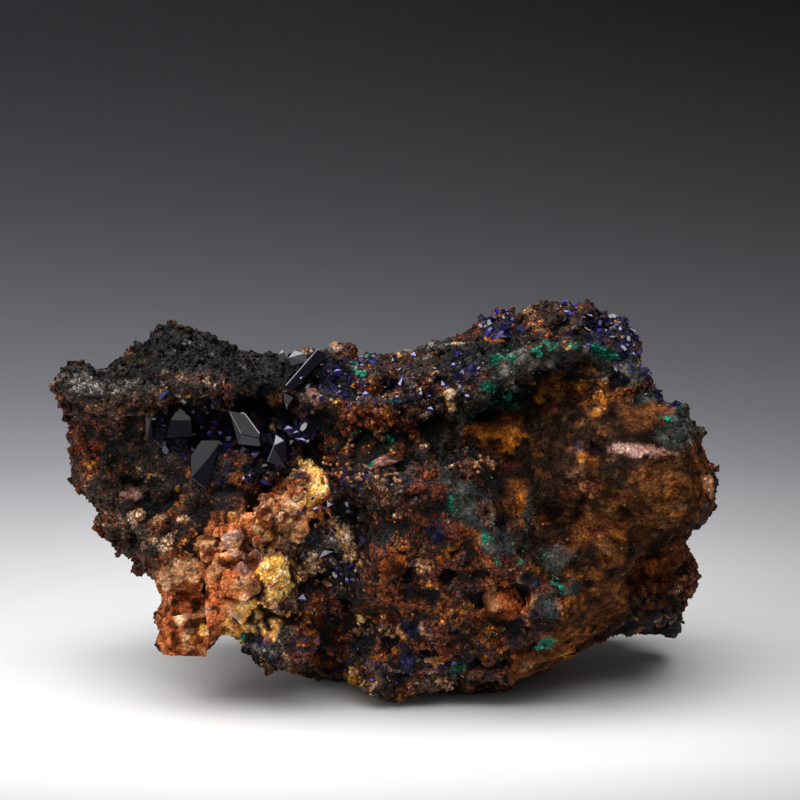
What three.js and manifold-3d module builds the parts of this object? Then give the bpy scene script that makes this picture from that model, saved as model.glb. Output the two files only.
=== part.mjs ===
// An azurite and malachite specimen: a rugged lump of brown limonite rock about 150 mm wide, with dark
// azurite crystals in its two hollows and along its crest, and small green tufts of malachite.
// Millimetres, +Z up, +X to the right of its show face, which looks along -Y. The origin is under the
// middle of the rock, on the table that it stands on.
import * as THREE from "three";
import { ConvexGeometry } from "three/addons/geometries/ConvexGeometry.js";
import { ImprovedNoise } from "three/addons/math/ImprovedNoise.js";
import { mergeVertices } from "three/addons/utils/BufferGeometryUtils.js";
import Module from "manifold-3d";

const wasm = await Module();
wasm.setup();

// Where the show face is seen from. Its outline and its features are placed as they look from there.
const SIGHT_DISTANCE = 650;
const SIGHT_ELEVATION = THREE.MathUtils.degToRad(10);
const SIGHT_AIM = new THREE.Vector3(3.4, 0, 65.3);
const SEEN_FOOT = 67; // the front foot is seen this far below the aim
const MIDDLE = new THREE.Vector3(-0.2, -1.5, 0); // the middle of the rock's foot, in the sight's frame
const ahead = new THREE.Vector3(0, Math.cos(SIGHT_ELEVATION), -Math.sin(SIGHT_ELEVATION));
const upward = new THREE.Vector3(0, Math.sin(SIGHT_ELEVATION), Math.cos(SIGHT_ELEVATION));
const eye = SIGHT_AIM.clone().addScaledVector(ahead, -SIGHT_DISTANCE);

// How far right of the middle and above the front foot a point is seen, in mm at the aim's distance.
function seenAt(point) {
  const from = point.clone().sub(eye);
  const scale = SIGHT_DISTANCE / from.dot(ahead);
  return [SIGHT_AIM.x + from.x * scale, SEEN_FOOT + from.dot(upward) * scale];
}

// The point at depth y that is seen there.
function placeAt(seenX, seenZ, y) {
  const ray = ahead.clone().multiplyScalar(SIGHT_DISTANCE);
  ray.x += seenX - SIGHT_AIM.x;
  ray.addScaledVector(upward, seenZ - SEEN_FOOT);
  return eye.clone().addScaledVector(ray, (y - eye.y) / ray.y);
}

// The rock's outline as seen, clockwise from the tip of the left ledge.
const OUTLINE = [
  [-75.5, 71.5], [-73.5, 74], [-65, 75], [-60, 77.5], [-57, 78], [-53, 82], [-48, 83.5], [-45.5, 84.5],
  [-42, 81.5], [-38.5, 79.5], [-32.5, 77], [-25.5, 76.5], [-20.5, 78.5], [-14.5, 79.5], [-9, 79.5],
  [-3, 76.5], [3.5, 78], [12.5, 79], [15.5, 82], [20, 82], [29, 84], [31, 87.5], [36.5, 88], [46.5, 88],
  [53, 85.5], [55, 80], [58.5, 78], [58.5, 72.5], [63.5, 67], [68.5, 65], [71.5, 60], [72, 55.5],
  [75.5, 46], [73.5, 42], [70.5, 38], [68, 37.5], [70, 34.5], [69.5, 31.5], [72, 27], [71, 24.5],
  [72, 21], [69.5, 18.5], [67.5, 14], [57, 13], [49, 14], [42, 7.5], [37.5, 3.5], [31.5, 1.5], [12.5, 0],
  [-2, 0], [-9, 3.5], [-20, 6], [-27, 7.5], [-33, 15], [-37, 14.5], [-40.5, 9], [-45.5, 10.5],
  [-48.5, 9.5], [-51, 12], [-51, 24.5], [-54, 26.5], [-55.5, 31], [-58.5, 29.5], [-59.5, 33],
  [-65.5, 36.5], [-64.5, 40.5], [-65.5, 44.5], [-69, 48], [-70.5, 53.5], [-70, 61.5], [-73, 65],
  [-74.5, 68.5],
];

// The rock's masses: where the middle of each is seen, its depth, and its half sizes in x, y and z.
const MASSES = {
  rightMass: { seen: [50, 50], y: 0, half: [28, 37, 34] },
  middleMass: { seen: [12, 38], y: 2, half: [32, 37, 32] },
  leftMass: { seen: [-33, 53], y: 6, half: [34, 27, 26] },
  shoulderLedge: { seen: [-58, 71], y: 2, half: [20, 26, 9] },
  shoulderPeak: { seen: [-46, 76], y: 4, half: [15, 22, 12] },
  leftFlank: { seen: [-62, 48], y: 8, half: [15, 24, 18] },
  leftWall: { seen: [-52, 38], y: 0, half: [14, 20, 12] },
  lowerLobe: { seen: [-26, 24], y: -12, half: [15, 20, 20] },
  foot: { seen: [-43, 22], y: -14, half: [12, 12, 17] },
  base: { seen: [8, 12], y: 4, half: [34, 25, 16] },
  rightSweep: { seen: [34, 22], y: -2, half: [26, 30, 24] },
  rightFoot: { seen: [61, 27], y: 6, half: [17, 26, 18] },
  crest: { seen: [42, 78], y: 8, half: [26, 26, 16] },
  saddle: { seen: [0, 69], y: 4, half: [38, 26, 16] },
  nose: { seen: [63, 48], y: -23, half: [13, 19, 11] },
  backBulge: { seen: [20, 45], y: 24, half: [30, 16, 26] },
  backLeft: { seen: [-30, 55], y: 22, half: [26, 14, 18] },
  backRight: { seen: [52, 40], y: 22, half: [18, 16, 22] },
  pores: { seen: [12, 32], y: -30, half: [18, 11, 15] },
  toeLeft: { seen: [-2, 11], y: -17, half: [11, 9, 8] },
  toeMiddle: { seen: [14, 10], y: -20, half: [12, 9, 9] },
  toeRight: { seen: [31, 12], y: -18, half: [12, 9, 9] },
};
const MASS_BLEND = 5;

// Ridges: round bars of the given radius along a line of seen points with their depths.
const RIDGES = {
  crustRim: {
    radius: 6,
    blend: 4,
    line: [
      [60, 66, -18], [50, 75, -20], [36, 76, -24], [25, 70, -28], [18, 60, -32], [16, 48, -36],
      [23, 38, -38], [34, 26, -37], [42, 14, -28],
    ],
  },
  ledgeLip: { radius: 6, blend: 4, line: [[-69, 70, -16], [-50, 67, -23], [-30, 70, -21]] },
  topLip: { radius: 5, blend: 4, line: [[-24, 72, -16], [-2, 68, -20], [14, 72, -20]] },
  ochreLip: { radius: 4, blend: 3, line: [[-12, 50, -31], [4, 47, -35], [12, 52, -36]] },
};

// Hollows that open in the show face.
const HOLLOWS = {
  leftHollow: { seen: [-37, 61], y: -25, half: [19, 14, 8] },
  leftHollowRun: { seen: [-25, 53], y: -27, half: [13, 12, 7] },
  middleHollow: { seen: [-15, 29], y: -38, half: [7, 20, 10] },
  middleHollowTop: { seen: [-11, 41], y: -38, half: [8, 18, 6] },
  brownCave: { seen: [29, 61], y: -34, half: [10, 17, 7] },
  crestCrevice: { seen: [42, 69.5], y: -30, half: [13, 15, 5] },
  brownBowl: { seen: [37, 56], y: -50, half: [15, 26, 15] },
  brownValley: { seen: [43, 39], y: -49, half: [11, 20, 14] },
  noseUnder: { seen: [58, 37], y: -40, half: [10, 13, 4.5] },
  underNose: { seen: [67, 28], y: -27, half: [13, 20, 9] },
  greenPit: { seen: [1, 58], y: -32, half: [6, 8, 4] },
  toePit: { seen: [2, 17], y: -38, half: [6, 9, 4] },
  backHollow: { seen: [-4, 58], y: 44, half: [16, 9, 12] },
  backNotch: { seen: [40, 40], y: 46, half: [12, 10, 14] },
  rustPit: { seen: [25, 25], y: -44, half: [6, 9, 6] },
};
const HOLLOW_BLEND = 2.5;

// Angular lumps of brick-red and ochre ironstone that make up the lower left of the rock, a small red
// fragment low on the right, and the corners that stand out from its sides.
const BLOCKS = {
  footToe: { seen: [-43, 14], y: -21, half: [8, 8, 6] },
  footBack: { seen: [-46, 19], y: -14, half: [6, 8, 9] },
  footTop: { seen: [-45, 27], y: -23, half: [8, 8, 8] },
  brickStep: { seen: [-34, 25], y: -30, half: [8, 7, 9] },
  brickTop: { seen: [-37, 36], y: -27, half: [9, 8, 6] },
  ochreStep: { seen: [-26, 27], y: -34, half: [6, 7, 8] },
  pinkRidge: { seen: [-26, 40], y: -33, half: [9, 8, 7] },
  pinkTop: { seen: [-18, 48], y: -33, half: [8, 7, 6] },
  lobeToe: { seen: [-24, 14], y: -26, half: [10, 9, 9] },
  redChip: { seen: [25, 22], y: -40, half: [5, 5, 4] },
  flankSpur: { seen: [-57.5, 33], y: -8, half: [4, 7, 4] },
  ledgeTip: { seen: [-67, 71.2], y: -6, half: [9, 11, 5] },
  noseTip: { seen: [67, 46], y: -22, half: [8, 12, 9] },
  underLedge: { seen: [58, 17.5], y: 15, half: [14, 13, 6] },
};
const BLOCK_CORNERS = 18;
const BLOCK_REACH = [0.8, 1.1]; // a corner's distance from the middle, as a share of the half size

// The rock reaches its seen outline at this depth, and rounds away in front of and behind it.
const RIM = { y: -8, reach: 45, round: 13, inset: 0.7 };

// The rock's surface is meshed on a grid of this cell. Noise of these waves and heights roughens it,
// rounded lumps of this size cover it, creases run between them, and none of it stands out far.
const CELL = 5.6;
const OUTLINE_BLEND = 3.5;
const ROUGHNESS = [{ wave: 27, height: 4 }, { wave: 14, height: 4.5 }];
const LUMPS = { size: 15, height: 7, middle: 0.55 };
const CREASES = { wave: 19, height: 9, level: 0.12 };
const PROUD = 3;

// Azurite clusters. Each has a thin crust on the rock round a seen place, small crystals scattered over
// that crust, and large crystals given by the corners that are seen, each as x, z and its depth behind
// the rock's face there.
const GAP = 0.4; // the crystals' roots stop this far from the rock
const CRUST = 0.9; // thickness of a crust
const CLUSTERS = {
  azurite_left_hollow: {
    seen: [-37, 59],
    half: [18, 16, 9],
    scattered: { count: 5, wide: [2.4, 3.8], tall: [3.2, 5] },
    large: [
      { at: [-46, 61], stand: 2.5, corners: [
        [-48.1, 62.7, 0], [-43.8, 62.7, 0], [-46.7, 64.9, 2.6], [-44.9, 64.9, 2.6], [-49.4, 58.5, 0.8],
        [-42.4, 58.2, 0.8], [-49, 60, 8], [-42.6, 60, 8], [-46, 65, 7]] },
      { at: [-53, 60], stand: 2.5, corners: [
        [-53.7, 63.5, 0], [-52.3, 63.8, 0.4], [-52.1, 57.8, 0], [-54.2, 57.4, -0.3], [-53.2, 63, 7],
        [-52.4, 58, 7], [-54, 58, 7]] },
      { at: [-41, 53], stand: 3, corners: [
        [-41.8, 58, 2.8], [-39.1, 58, 2.8], [-43.6, 54.6, 0], [-39.2, 54.4, 0], [-43.8, 48, 0.8],
        [-38.8, 47, 0.9], [-41.5, 46.3, 1.5], [-43, 56, 8], [-38.5, 56, 8], [-41, 48, 8]] },
      { at: [-30, 61.5], stand: 4, corners: [
        [-34.8, 64.8, 3], [-31.5, 64, 2.3], [-28.3, 58.9, -2.3], [-29.9, 58.4, -2.8], [-32.6, 60, -1.3],
        [-33.9, 62.5, 0.9], [-32.8, 66.5, 7], [-26, 63, 3], [-25.5, 58, 3], [-28, 56.5, 1], [-33, 57, 4],
        [-27, 65.5, 8], [-30, 61, 11]] },
      { at: [-23, 57], stand: 3, corners: [
        [-25.2, 56.9, -1.5], [-24.9, 59.6, 0.7], [-22.7, 58, -0.6], [-22, 61, 4], [-19.5, 57, 3],
        [-22, 51.5, 2], [-26.5, 53, 2], [-27, 60, 4], [-23, 57, 9]] },
      { at: [-21.5, 67.5], stand: 1.5, corners: [
        [-22.7, 69, 0.6], [-20.9, 67.6, 0], [-22, 66.3, -0.8], [-22.7, 67.4, -0.3], [-20, 70, 4],
        [-18.5, 66, 3], [-22, 64.5, 3], [-21, 67, 7]] },
    ],
  },
  azurite_top_blades: {
    seen: [-16.5, 72.5],
    half: [9, 12, 8],
    scattered: { count: 5, wide: [2.2, 3.4], tall: [3, 5] },
    large: [
      { at: [-20, 74], stand: 1.5, corners: [
        [-22.9, 78.4, 0.8], [-20.9, 78.2, 0.8], [-20.7, 74.8, 0], [-22.7, 74.6, -0.4], [-22.5, 77, 5],
        [-20.5, 76, 5]] },
      { at: [-18, 74], stand: 2, corners: [
        [-21, 77, 1.5], [-13.5, 78.2, 2], [-12.8, 76.8, 0.6], [-19.5, 71.5, -0.8], [-20.6, 72.5, 0],
        [-16, 70, 3], [-15, 75, 7]] },
      { at: [-18.5, 70], stand: 1.5, corners: [
        [-21.5, 71.5, 0.5], [-18.3, 72, 1], [-18.5, 67.5, -0.4], [-20.8, 67.3, -0.4], [-18, 70, 5],
        [-21, 69, 5]] },
    ],
  },
  azurite_saddle_plates: {
    seen: [9.5, 70.5],
    half: [13, 15, 8],
    scattered: { count: 10, wide: [2.2, 3.4], tall: [3, 5] },
    large: [],
  },
  azurite_rosette: {
    seen: [24, 80],
    half: [8, 11, 6],
    scattered: { count: 8, wide: [2.4, 3.4], tall: [3.6, 5.4] },
    large: [],
  },
  azurite_crest_druse: {
    seen: [50, 80.5],
    half: [12, 14, 7],
    scattered: { count: 9, wide: [2.2, 3.4], tall: [3, 4.4] },
    large: [],
  },
  azurite_middle_hollow: {
    seen: [-14, 33],
    half: [8, 14, 11],
    scattered: { count: 8, wide: [2.2, 3.6], tall: [3, 4.6] },
    large: [],
  },
  azurite_base_crystals: {
    seen: [6, 11.5],
    half: [13, 12, 6],
    scattered: { count: 7, wide: [2.2, 3.4], tall: [2.8, 4] },
    large: [],
  },
};
const SCATTER = 0.65; // scattered crystals stand within this share of their crust
const SEED = 41;

// Malachite tufts: little groups of round green grains, placed where they are seen.
const TUFTS = [
  { seen: [-5.5, 73], radius: 1.5, grains: 3 },
  { seen: [1, 58.3], radius: 1.6, grains: 3 },
  { seen: [28, 68.5], radius: 1.8, grains: 3 },
  { seen: [34, 78], radius: 1.6, grains: 3 },
  { seen: [64, 62.5], radius: 1.5, grains: 3 },
  { seen: [26.5, 30.5], radius: 1.3, grains: 3 },
  { seen: [38, 25.5], radius: 1.5, grains: 3 },
  { seen: [35, 12], radius: 1.4, grains: 3 },
];

const noise = new ImprovedNoise();
const NOISE_START = 7.3; // in waves, any value that isn't whole, because the noise is zero at whole ones
const noiseAt = ({ x, y, z }, wave) => noise.noise(x / wave + NOISE_START, y / wave, z / wave);
const random = () => THREE.MathUtils.seededRandom();
const between = ([low, high]) => low + (high - low) * random();

// How far a point is from the nearest of many scattered centres, one in each cell of the given size.
const AROUND = [-1, 0, 1];
const NEIGHBOURS = AROUND.flatMap((a) => AROUND.flatMap((b) => AROUND.map((c) => [a, b, c])));
const CENTRE_WAVE = 1.3; // in cells
function toLump(point, size) {
  const inCells = point.toArray().map((along) => along / size);
  const gaps = NEIGHBOURS.map((step) => {
    const cell = inCells.map((along, axis) => Math.floor(along) + step[axis]);
    const centre = cell.map((corner, axis) => {
      const at = new THREE.Vector3(...cell).addScalar(axis / 2);
      return corner + 0.5 + noiseAt(at, CENTRE_WAVE);
    });
    return Math.hypot(...centre.map((along, axis) => along - inCells[axis]));
  });
  return Math.min(...gaps);
}

function smoothMin(a, b, blend) {
  const near = Math.max(blend - Math.abs(a - b), 0) / blend;
  return Math.min(a, b) - (near * near * blend) / 4;
}

const smoothMax = (a, b, blend) => -smoothMin(-a, -b, blend);

// The distances below are positive outside and negative inside, and true near the surface.
function toEllipsoid(point, centre, half) {
  const scaled = point.clone().sub(centre).divide(half);
  const steep = scaled.clone().divide(half).length();
  if (steep === 0) return -Math.min(half.x, half.y, half.z);
  return (scaled.length() * (scaled.length() - 1)) / steep;
}

function toBar(point, line, radius) {
  const nearest = new THREE.Vector3();
  const spans = line.slice(1).map((end, i) => {
    new THREE.Line3(line[i], end).closestPointToPoint(point, true, nearest);
    return nearest.distanceTo(point);
  });
  return Math.min(...spans) - radius;
}

function toOutline(x, z) {
  let inside = false;
  let nearest = Infinity;
  OUTLINE.forEach(([ax, az], i) => {
    const [bx, bz] = OUTLINE[(i + 1) % OUTLINE.length];
    const along = THREE.MathUtils.clamp(
      ((x - ax) * (bx - ax) + (z - az) * (bz - az)) / ((bx - ax) ** 2 + (bz - az) ** 2), 0, 1);
    nearest = Math.min(nearest, Math.hypot(x - ax - along * (bx - ax), z - az - along * (bz - az)));
    if (az > z !== bz > z && x < ax + ((z - az) * (bx - ax)) / (bz - az)) inside = !inside;
  });
  return inside ? -nearest : nearest;
}

const blobs = (table) =>
  Object.values(table).map(({ seen, y, half }) => ({
    centre: placeAt(...seen, y),
    half: new THREE.Vector3(...half),
  }));
const masses = blobs(MASSES);
const hollows = blobs(HOLLOWS);
const ridges = Object.values(RIDGES).map(({ radius, blend, line }) => ({
  radius,
  blend,
  line: line.map((point) => placeAt(...point)),
}));

function toRock(point) {
  let far = Infinity;
  for (const { centre, half } of masses) {
    const near = toEllipsoid(point, centre, half);
    far = far === Infinity ? near : smoothMin(far, near, MASS_BLEND);
  }
  for (const { line, radius, blend } of ridges) far = smoothMin(far, toBar(point, line, radius), blend);
  for (const { centre, half } of hollows) {
    far = smoothMax(far, -toEllipsoid(point, centre, half), HOLLOW_BLEND);
  }
  const round = RIM.inset + RIM.round * ((point.y - RIM.y) / RIM.reach) ** 2;
  far = smoothMax(far, toOutline(...seenAt(point)) + round, OUTLINE_BLEND);

  let rough = LUMPS.height * (toLump(point, LUMPS.size) - LUMPS.middle);
  for (const { wave, height } of ROUGHNESS) rough += height * noiseAt(point, wave);
  rough += CREASES.height * Math.max(CREASES.level - Math.abs(noiseAt(point, CREASES.wave)), 0);
  return far + (rough < 0 ? PROUD * (Math.exp(rough / PROUD) - 1) : rough);
}

// The surface where a field is zero, as quads that join one vertex in each grid cell it passes through.
const JUST_INSIDE = 0.05; // how far inside a filled corner counts as being, in cells
const CORNERS = [0, 1, 2, 3, 4, 5, 6, 7].map((c) => [c & 1, (c >> 1) & 1, (c >> 2) & 1]);
const EDGES = CORNERS.flatMap((_, a) => [1, 2, 4].filter((bit) => !(a & bit)).map((bit) => [a, a | bit]));

function surfaceOf(field, box, cell) {
  const size = box.getSize(new THREE.Vector3()).divideScalar(cell).ceil();
  const [nx, ny, nz] = [size.x + 1, size.y + 1, size.z + 1];
  const at = (i, j, k) => i + nx * (j + ny * k);
  const values = new Float64Array(nx * ny * nz);
  for (let k = 0; k < nz; k++)
    for (let j = 0; j < ny; j++)
      for (let i = 0; i < nx; i++)
        values[at(i, j, k)] = field(new THREE.Vector3(i, j, k).multiplyScalar(cell).add(box.min));

  const cells = [];
  for (let k = 0; k < nz - 1; k++)
    for (let j = 0; j < ny - 1; j++) for (let i = 0; i < nx - 1; i++) cells.push([i, j, k]);
  const cornersOf = ([i, j, k]) => CORNERS.map(([a, b, c]) => at(i + a, j + b, k + c));

  // How many separate groups the corners on one side form, joined along the cell's edges.
  function groups(signs, side) {
    const label = signs.map((s, c) => (s === side ? c : -1));
    for (let pass = 0; pass < 4; pass++)
      for (const [a, b] of EDGES)
        if (label[a] >= 0 && label[b] >= 0) label[a] = label[b] = Math.min(label[a], label[b]);
    return new Set(label.filter((l) => l >= 0)).size;
  }
  const FACES = [[0, 1, 3, 2], [4, 5, 7, 6], [0, 1, 5, 4], [2, 3, 7, 6], [0, 2, 6, 4], [1, 3, 7, 5]];
  const crossed = (signs) =>
    FACES.some(([a, b, c, d]) => signs[a] === signs[c] && signs[b] === signs[d] && signs[a] !== signs[b]);

  // A cell that two sheets of the surface share is filled, so that every edge has just two faces.
  for (let changed = true; changed; ) {
    changed = false;
    for (const cellAt of cells) {
      const corners = cornersOf(cellAt);
      const signs = corners.map((c) => values[c] < 0);
      if (!crossed(signs) && groups(signs, true) < 2 && groups(signs, false) < 2) continue;
      const outside = corners.filter((c) => values[c] >= 0);
      const nearest = outside.reduce((a, b) => (values[a] < values[b] ? a : b));
      values[nearest] = -JUST_INSIDE * cell;
      changed = true;
    }
  }

  const vertices = [];
  const vertexOf = new Map();
  for (const [i, j, k] of cells) {
    const corners = cornersOf([i, j, k]);
    const cuts = EDGES.filter(([a, b]) => values[corners[a]] < 0 !== values[corners[b]] < 0);
    if (!cuts.length) continue;
    const middle = new THREE.Vector3();
    for (const [a, b] of cuts) {
      const share = values[corners[a]] / (values[corners[a]] - values[corners[b]]);
      middle.add(new THREE.Vector3(...CORNERS[a]).lerp(new THREE.Vector3(...CORNERS[b]), share));
    }
    middle.divideScalar(cuts.length).add(new THREE.Vector3(i, j, k)).multiplyScalar(cell).add(box.min);
    vertexOf.set(at(i, j, k), vertices.length);
    vertices.push(middle);
  }

  const triangles = [];
  const STEPS = [[1, 0, 0], [0, 1, 0], [0, 0, 1]];
  for (const [i, j, k] of cells) {
    STEPS.forEach((step, axis) => {
      const from = values[at(i, j, k)] < 0;
      if (from === values[at(i + step[0], j + step[1], k + step[2])] < 0) return;
      const [u, v] = [STEPS[(axis + 1) % 3], STEPS[(axis + 2) % 3]];
      const quad = [[0, 0], [1, 0], [1, 1], [0, 1]].map(([a, b]) =>
        vertexOf.get(at(i - a * u[0] - b * v[0], j - a * u[1] - b * v[1], k - a * u[2] - b * v[2])));
      if (!from) quad.reverse();
      const [a, b, c, d] = quad;
      const short = vertices[a].distanceTo(vertices[c]) < vertices[b].distanceTo(vertices[d]);
      triangles.push(...(short ? [a, b, c, a, c, d] : [b, c, d, b, d, a]));
    });
  }
  return new THREE.BufferGeometry().setFromPoints(vertices).setIndex(triangles);
}

// Closed geometry to a solid, and a solid back to geometry with flat faces.
const SAME_PLACE = 0.001; // vertices this near each other are one, in mm
function solidOf(geometry) {
  const bare = new THREE.BufferGeometry().setAttribute("position", geometry.getAttribute("position"));
  if (geometry.index) bare.setIndex(geometry.index);
  const merged = mergeVertices(bare, SAME_PLACE);
  return new wasm.Manifold(new wasm.Mesh({
    numProp: 3,
    vertProperties: new Float32Array(merged.attributes.position.array),
    triVerts: new Uint32Array(merged.index.array),
  }));
}

function geometryOf(solid) {
  const { vertProperties, triVerts, numProp } = solid.getMesh();
  const geometry = new THREE.BufferGeometry();
  const positions = new Float32Array((vertProperties.length / numProp) * 3);
  for (let i = 0; i < positions.length / 3; i++) {
    positions.set(vertProperties.subarray(i * numProp, i * numProp + 3), i * 3);
  }
  geometry.setAttribute("position", new THREE.BufferAttribute(positions, 3));
  geometry.setIndex(new THREE.BufferAttribute(new Uint32Array(triVerts), 1));
  return geometry.toNonIndexed();
}

// The corners of the angular lumps, the same for every skin: points on a ball, pushed in and out.
THREE.MathUtils.seededRandom(SEED);
const anyTurn = () => 2 * Math.PI * random();
const ballPoint = () =>
  new THREE.Vector3().setFromSphericalCoords(1, Math.acos(2 * random() - 1), anyTurn());
const lumps = Object.values(BLOCKS).map(({ seen, y, half }) => ({
  centre: placeAt(...seen, y),
  half: new THREE.Vector3(...half),
  corners: Array.from({ length: BLOCK_CORNERS }, () => ballPoint().multiplyScalar(between(BLOCK_REACH))),
}));

const hullOf = (points) => solidOf(new ConvexGeometry(points));
const largest = (solid) => solid.decompose().reduce((a, b) => (a.volume() > b.volume() ? a : b));

// The rock, or a skin that lies the given distance outside it.
const GRID_BOX = new THREE.Box3(new THREE.Vector3(-86, -54, -14), new THREE.Vector3(86, 54, 98));
function rockSolid(outside) {
  const bulk = solidOf(surfaceOf((point) => toRock(point) - outside, GRID_BOX, CELL));
  return lumps.reduce((solid, { centre, half, corners }) => {
    const size = half.clone().addScalar(outside);
    return solid.add(hullOf(corners.map((corner) => corner.clone().multiply(size).add(centre))));
  }, bulk);
}

// A small azurite crystal: a flattened prism with a slanted roof, standing at a point along a direction.
// Its sizes across are shares of its width and its heights are shares of its length.
const PRISM = {
  section: [[-1, -0.6], [0.7, -1], [1, 0.5], [-0.6, 1]],
  flat: [0.35, 0.7],
  rootWidth: 0.35,
  shoulderWidth: 0.5,
  shoulder: [0.5, 0.75],
  ridge: [[-0.3, 1], [0.25, 0.92]],
  root: 2, // mm
};
function scatteredCrystal(place, along, wide, tall) {
  const thick = wide * between(PRISM.flat);
  const ring = (share, height) =>
    PRISM.section.map(([x, y]) => new THREE.Vector3(x * wide * share, y * thick * share, height()));
  const points = [
    ...ring(PRISM.rootWidth, () => -PRISM.root),
    ...ring(PRISM.shoulderWidth, () => tall * between(PRISM.shoulder)),
    ...PRISM.ridge.map(([x, height]) => new THREE.Vector3(x * wide, 0, height * tall)),
  ];
  const up = new THREE.Vector3(0, 0, 1);
  const turn = new THREE.Quaternion().setFromUnitVectors(up, along);
  turn.multiply(new THREE.Quaternion().setFromAxisAngle(up, anyTurn()));
  return hullOf(points.map((point) => point.applyQuaternion(turn).add(place)));
}

// A large crystal from its seen corners, each pushed back from a plane that stands off the rock.
function largeCrystal({ at, stand, corners }) {
  const front = onRock(at).point.y - stand;
  return hullOf(corners.map(([x, z, back]) => placeAt(x, z, front + back)));
}

// The rock is cut off flat at the table, and no crystal reaches lower than the gap over it.
const TABLE = { across: 240, thick: 40, gap: 1 };
const underTable = solidOf(
  new THREE.BoxGeometry(TABLE.across, TABLE.across, TABLE.thick).translate(0, 0, -TABLE.thick / 2));
const rock = largest(rockSolid(0).subtract(underTable));
const rootCut = rockSolid(GAP).add(rock).add(underTable.translate(0, 0, TABLE.gap));

// The point of the rock's skin that is seen at a place, and the direction straight out of it there.
// Past the rock's edge there is none.
const skin = new THREE.Mesh(geometryOf(rootCut));
function onRock([x, z]) {
  const sight = placeAt(x, z, 0).sub(eye).normalize();
  const [hit] = new THREE.Raycaster(eye, sight).intersectObject(skin);
  return hit && { point: hit.point, out: hit.face.normal };
}

// A crust over the rock round a point, thinning out to a ragged edge.
const CRUST_EDGE = { taper: 3, ragged: 2, wave: 9, reach: 1.4 };
function crustSolid(middle, half) {
  const snap = (vector, way) => vector.divideScalar(CELL)[way]().multiplyScalar(CELL);
  const reach = snap(half.clone().multiplyScalar(CRUST_EDGE.reach).addScalar(CELL), "ceil");
  const corner = snap(middle.clone().sub(GRID_BOX.min), "round").add(GRID_BOX.min);
  const box = new THREE.Box3(corner.clone().sub(reach), corner.clone().add(reach));
  const field = (point) => {
    const away = point.clone().sub(middle).divide(half).length();
    const full = CRUST_EDGE.taper * (1 - away) + CRUST_EDGE.ragged * noiseAt(point, CRUST_EDGE.wave);
    const top = toRock(point) - GAP - CRUST * Math.min(full, 1);
    return Math.max(top, (away - CRUST_EDGE.reach) * CELL);
  };
  return solidOf(surfaceOf(field, box, CELL));
}

// A cluster: its crust, the small crystals scattered over it and its large ones, clear of the rock.
const LEAN = 0.6; // how far scattered crystals lean, as a share of their length
function cluster({ seen, half, scattered, large }) {
  const middle = onRock(seen).point;
  let solid = crustSolid(middle, new THREE.Vector3(...half));
  for (let i = 0; i < scattered.count; i++) {
    const [away, round] = [Math.sqrt(random()) * SCATTER, anyTurn()];
    const x = seen[0] + half[0] * away * Math.cos(round);
    const z = seen[1] + half[2] * away * Math.sin(round);
    const place = onRock([x, z]);
    if (!place) continue;
    const along = place.out.clone().addScaledVector(ballPoint(), LEAN).normalize();
    const size = [between(scattered.wide), between(scattered.tall)];
    solid = solid.add(scatteredCrystal(place.point, along, ...size));
  }
  for (const crystal of large) solid = solid.add(largeCrystal(crystal));
  return largest(solid.subtract(rootCut));
}

// A tuft: round grains that touch, one in the middle and the others round it.
const GRAIN = { size: [0.75, 1.1], spread: 1.3, stand: 0.3 }; // shares of the tuft's radius
function tuft({ seen, radius, grains }) {
  const { point: middle, out } = onRock(seen);
  const balls = Array.from({ length: grains }, (_, i) => {
    const centre = middle.clone().addScaledVector(out, radius * GRAIN.stand);
    if (i) centre.add(ballPoint().projectOnPlane(out).setLength(radius * GRAIN.spread));
    const grain = new THREE.IcosahedronGeometry(radius * between(GRAIN.size), 0);
    return solidOf(grain.rotateX(anyTurn()).translate(...centre.toArray()));
  });
  return largest(balls.reduce((a, b) => a.add(b)).subtract(rootCut));
}

// The specimen: the rock, its azurite clusters and its malachite tufts.
const LIMONITE = { color: 0x5a4030, roughness: 0.9, metalness: 0 };
const AZURITE = { color: 0x10164a, roughness: 0.15, metalness: 0 };
const MALACHITE = { color: 0x1f8f6a, roughness: 0.7, metalness: 0 };

const specimen = new THREE.Group();
specimen.position.copy(MIDDLE).negate();
function addPiece(name, solid, look) {
  const mesh = new THREE.Mesh(geometryOf(solid), new THREE.MeshStandardMaterial(look));
  mesh.name = name;
  specimen.add(mesh);
}
addPiece("matrix", rock, LIMONITE);
for (const [name, place] of Object.entries(CLUSTERS)) addPiece(name, cluster(place), AZURITE);
TUFTS.forEach((place, i) => addPiece(`malachite_tuft_${i + 1}`, tuft(place), MALACHITE));

export default specimen;
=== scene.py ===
import math

import bmesh
import bpy
import numpy as np
from mathutils import Euler, Matrix, Vector, noise
from mathutils.bvhtree import BVHTree


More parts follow.
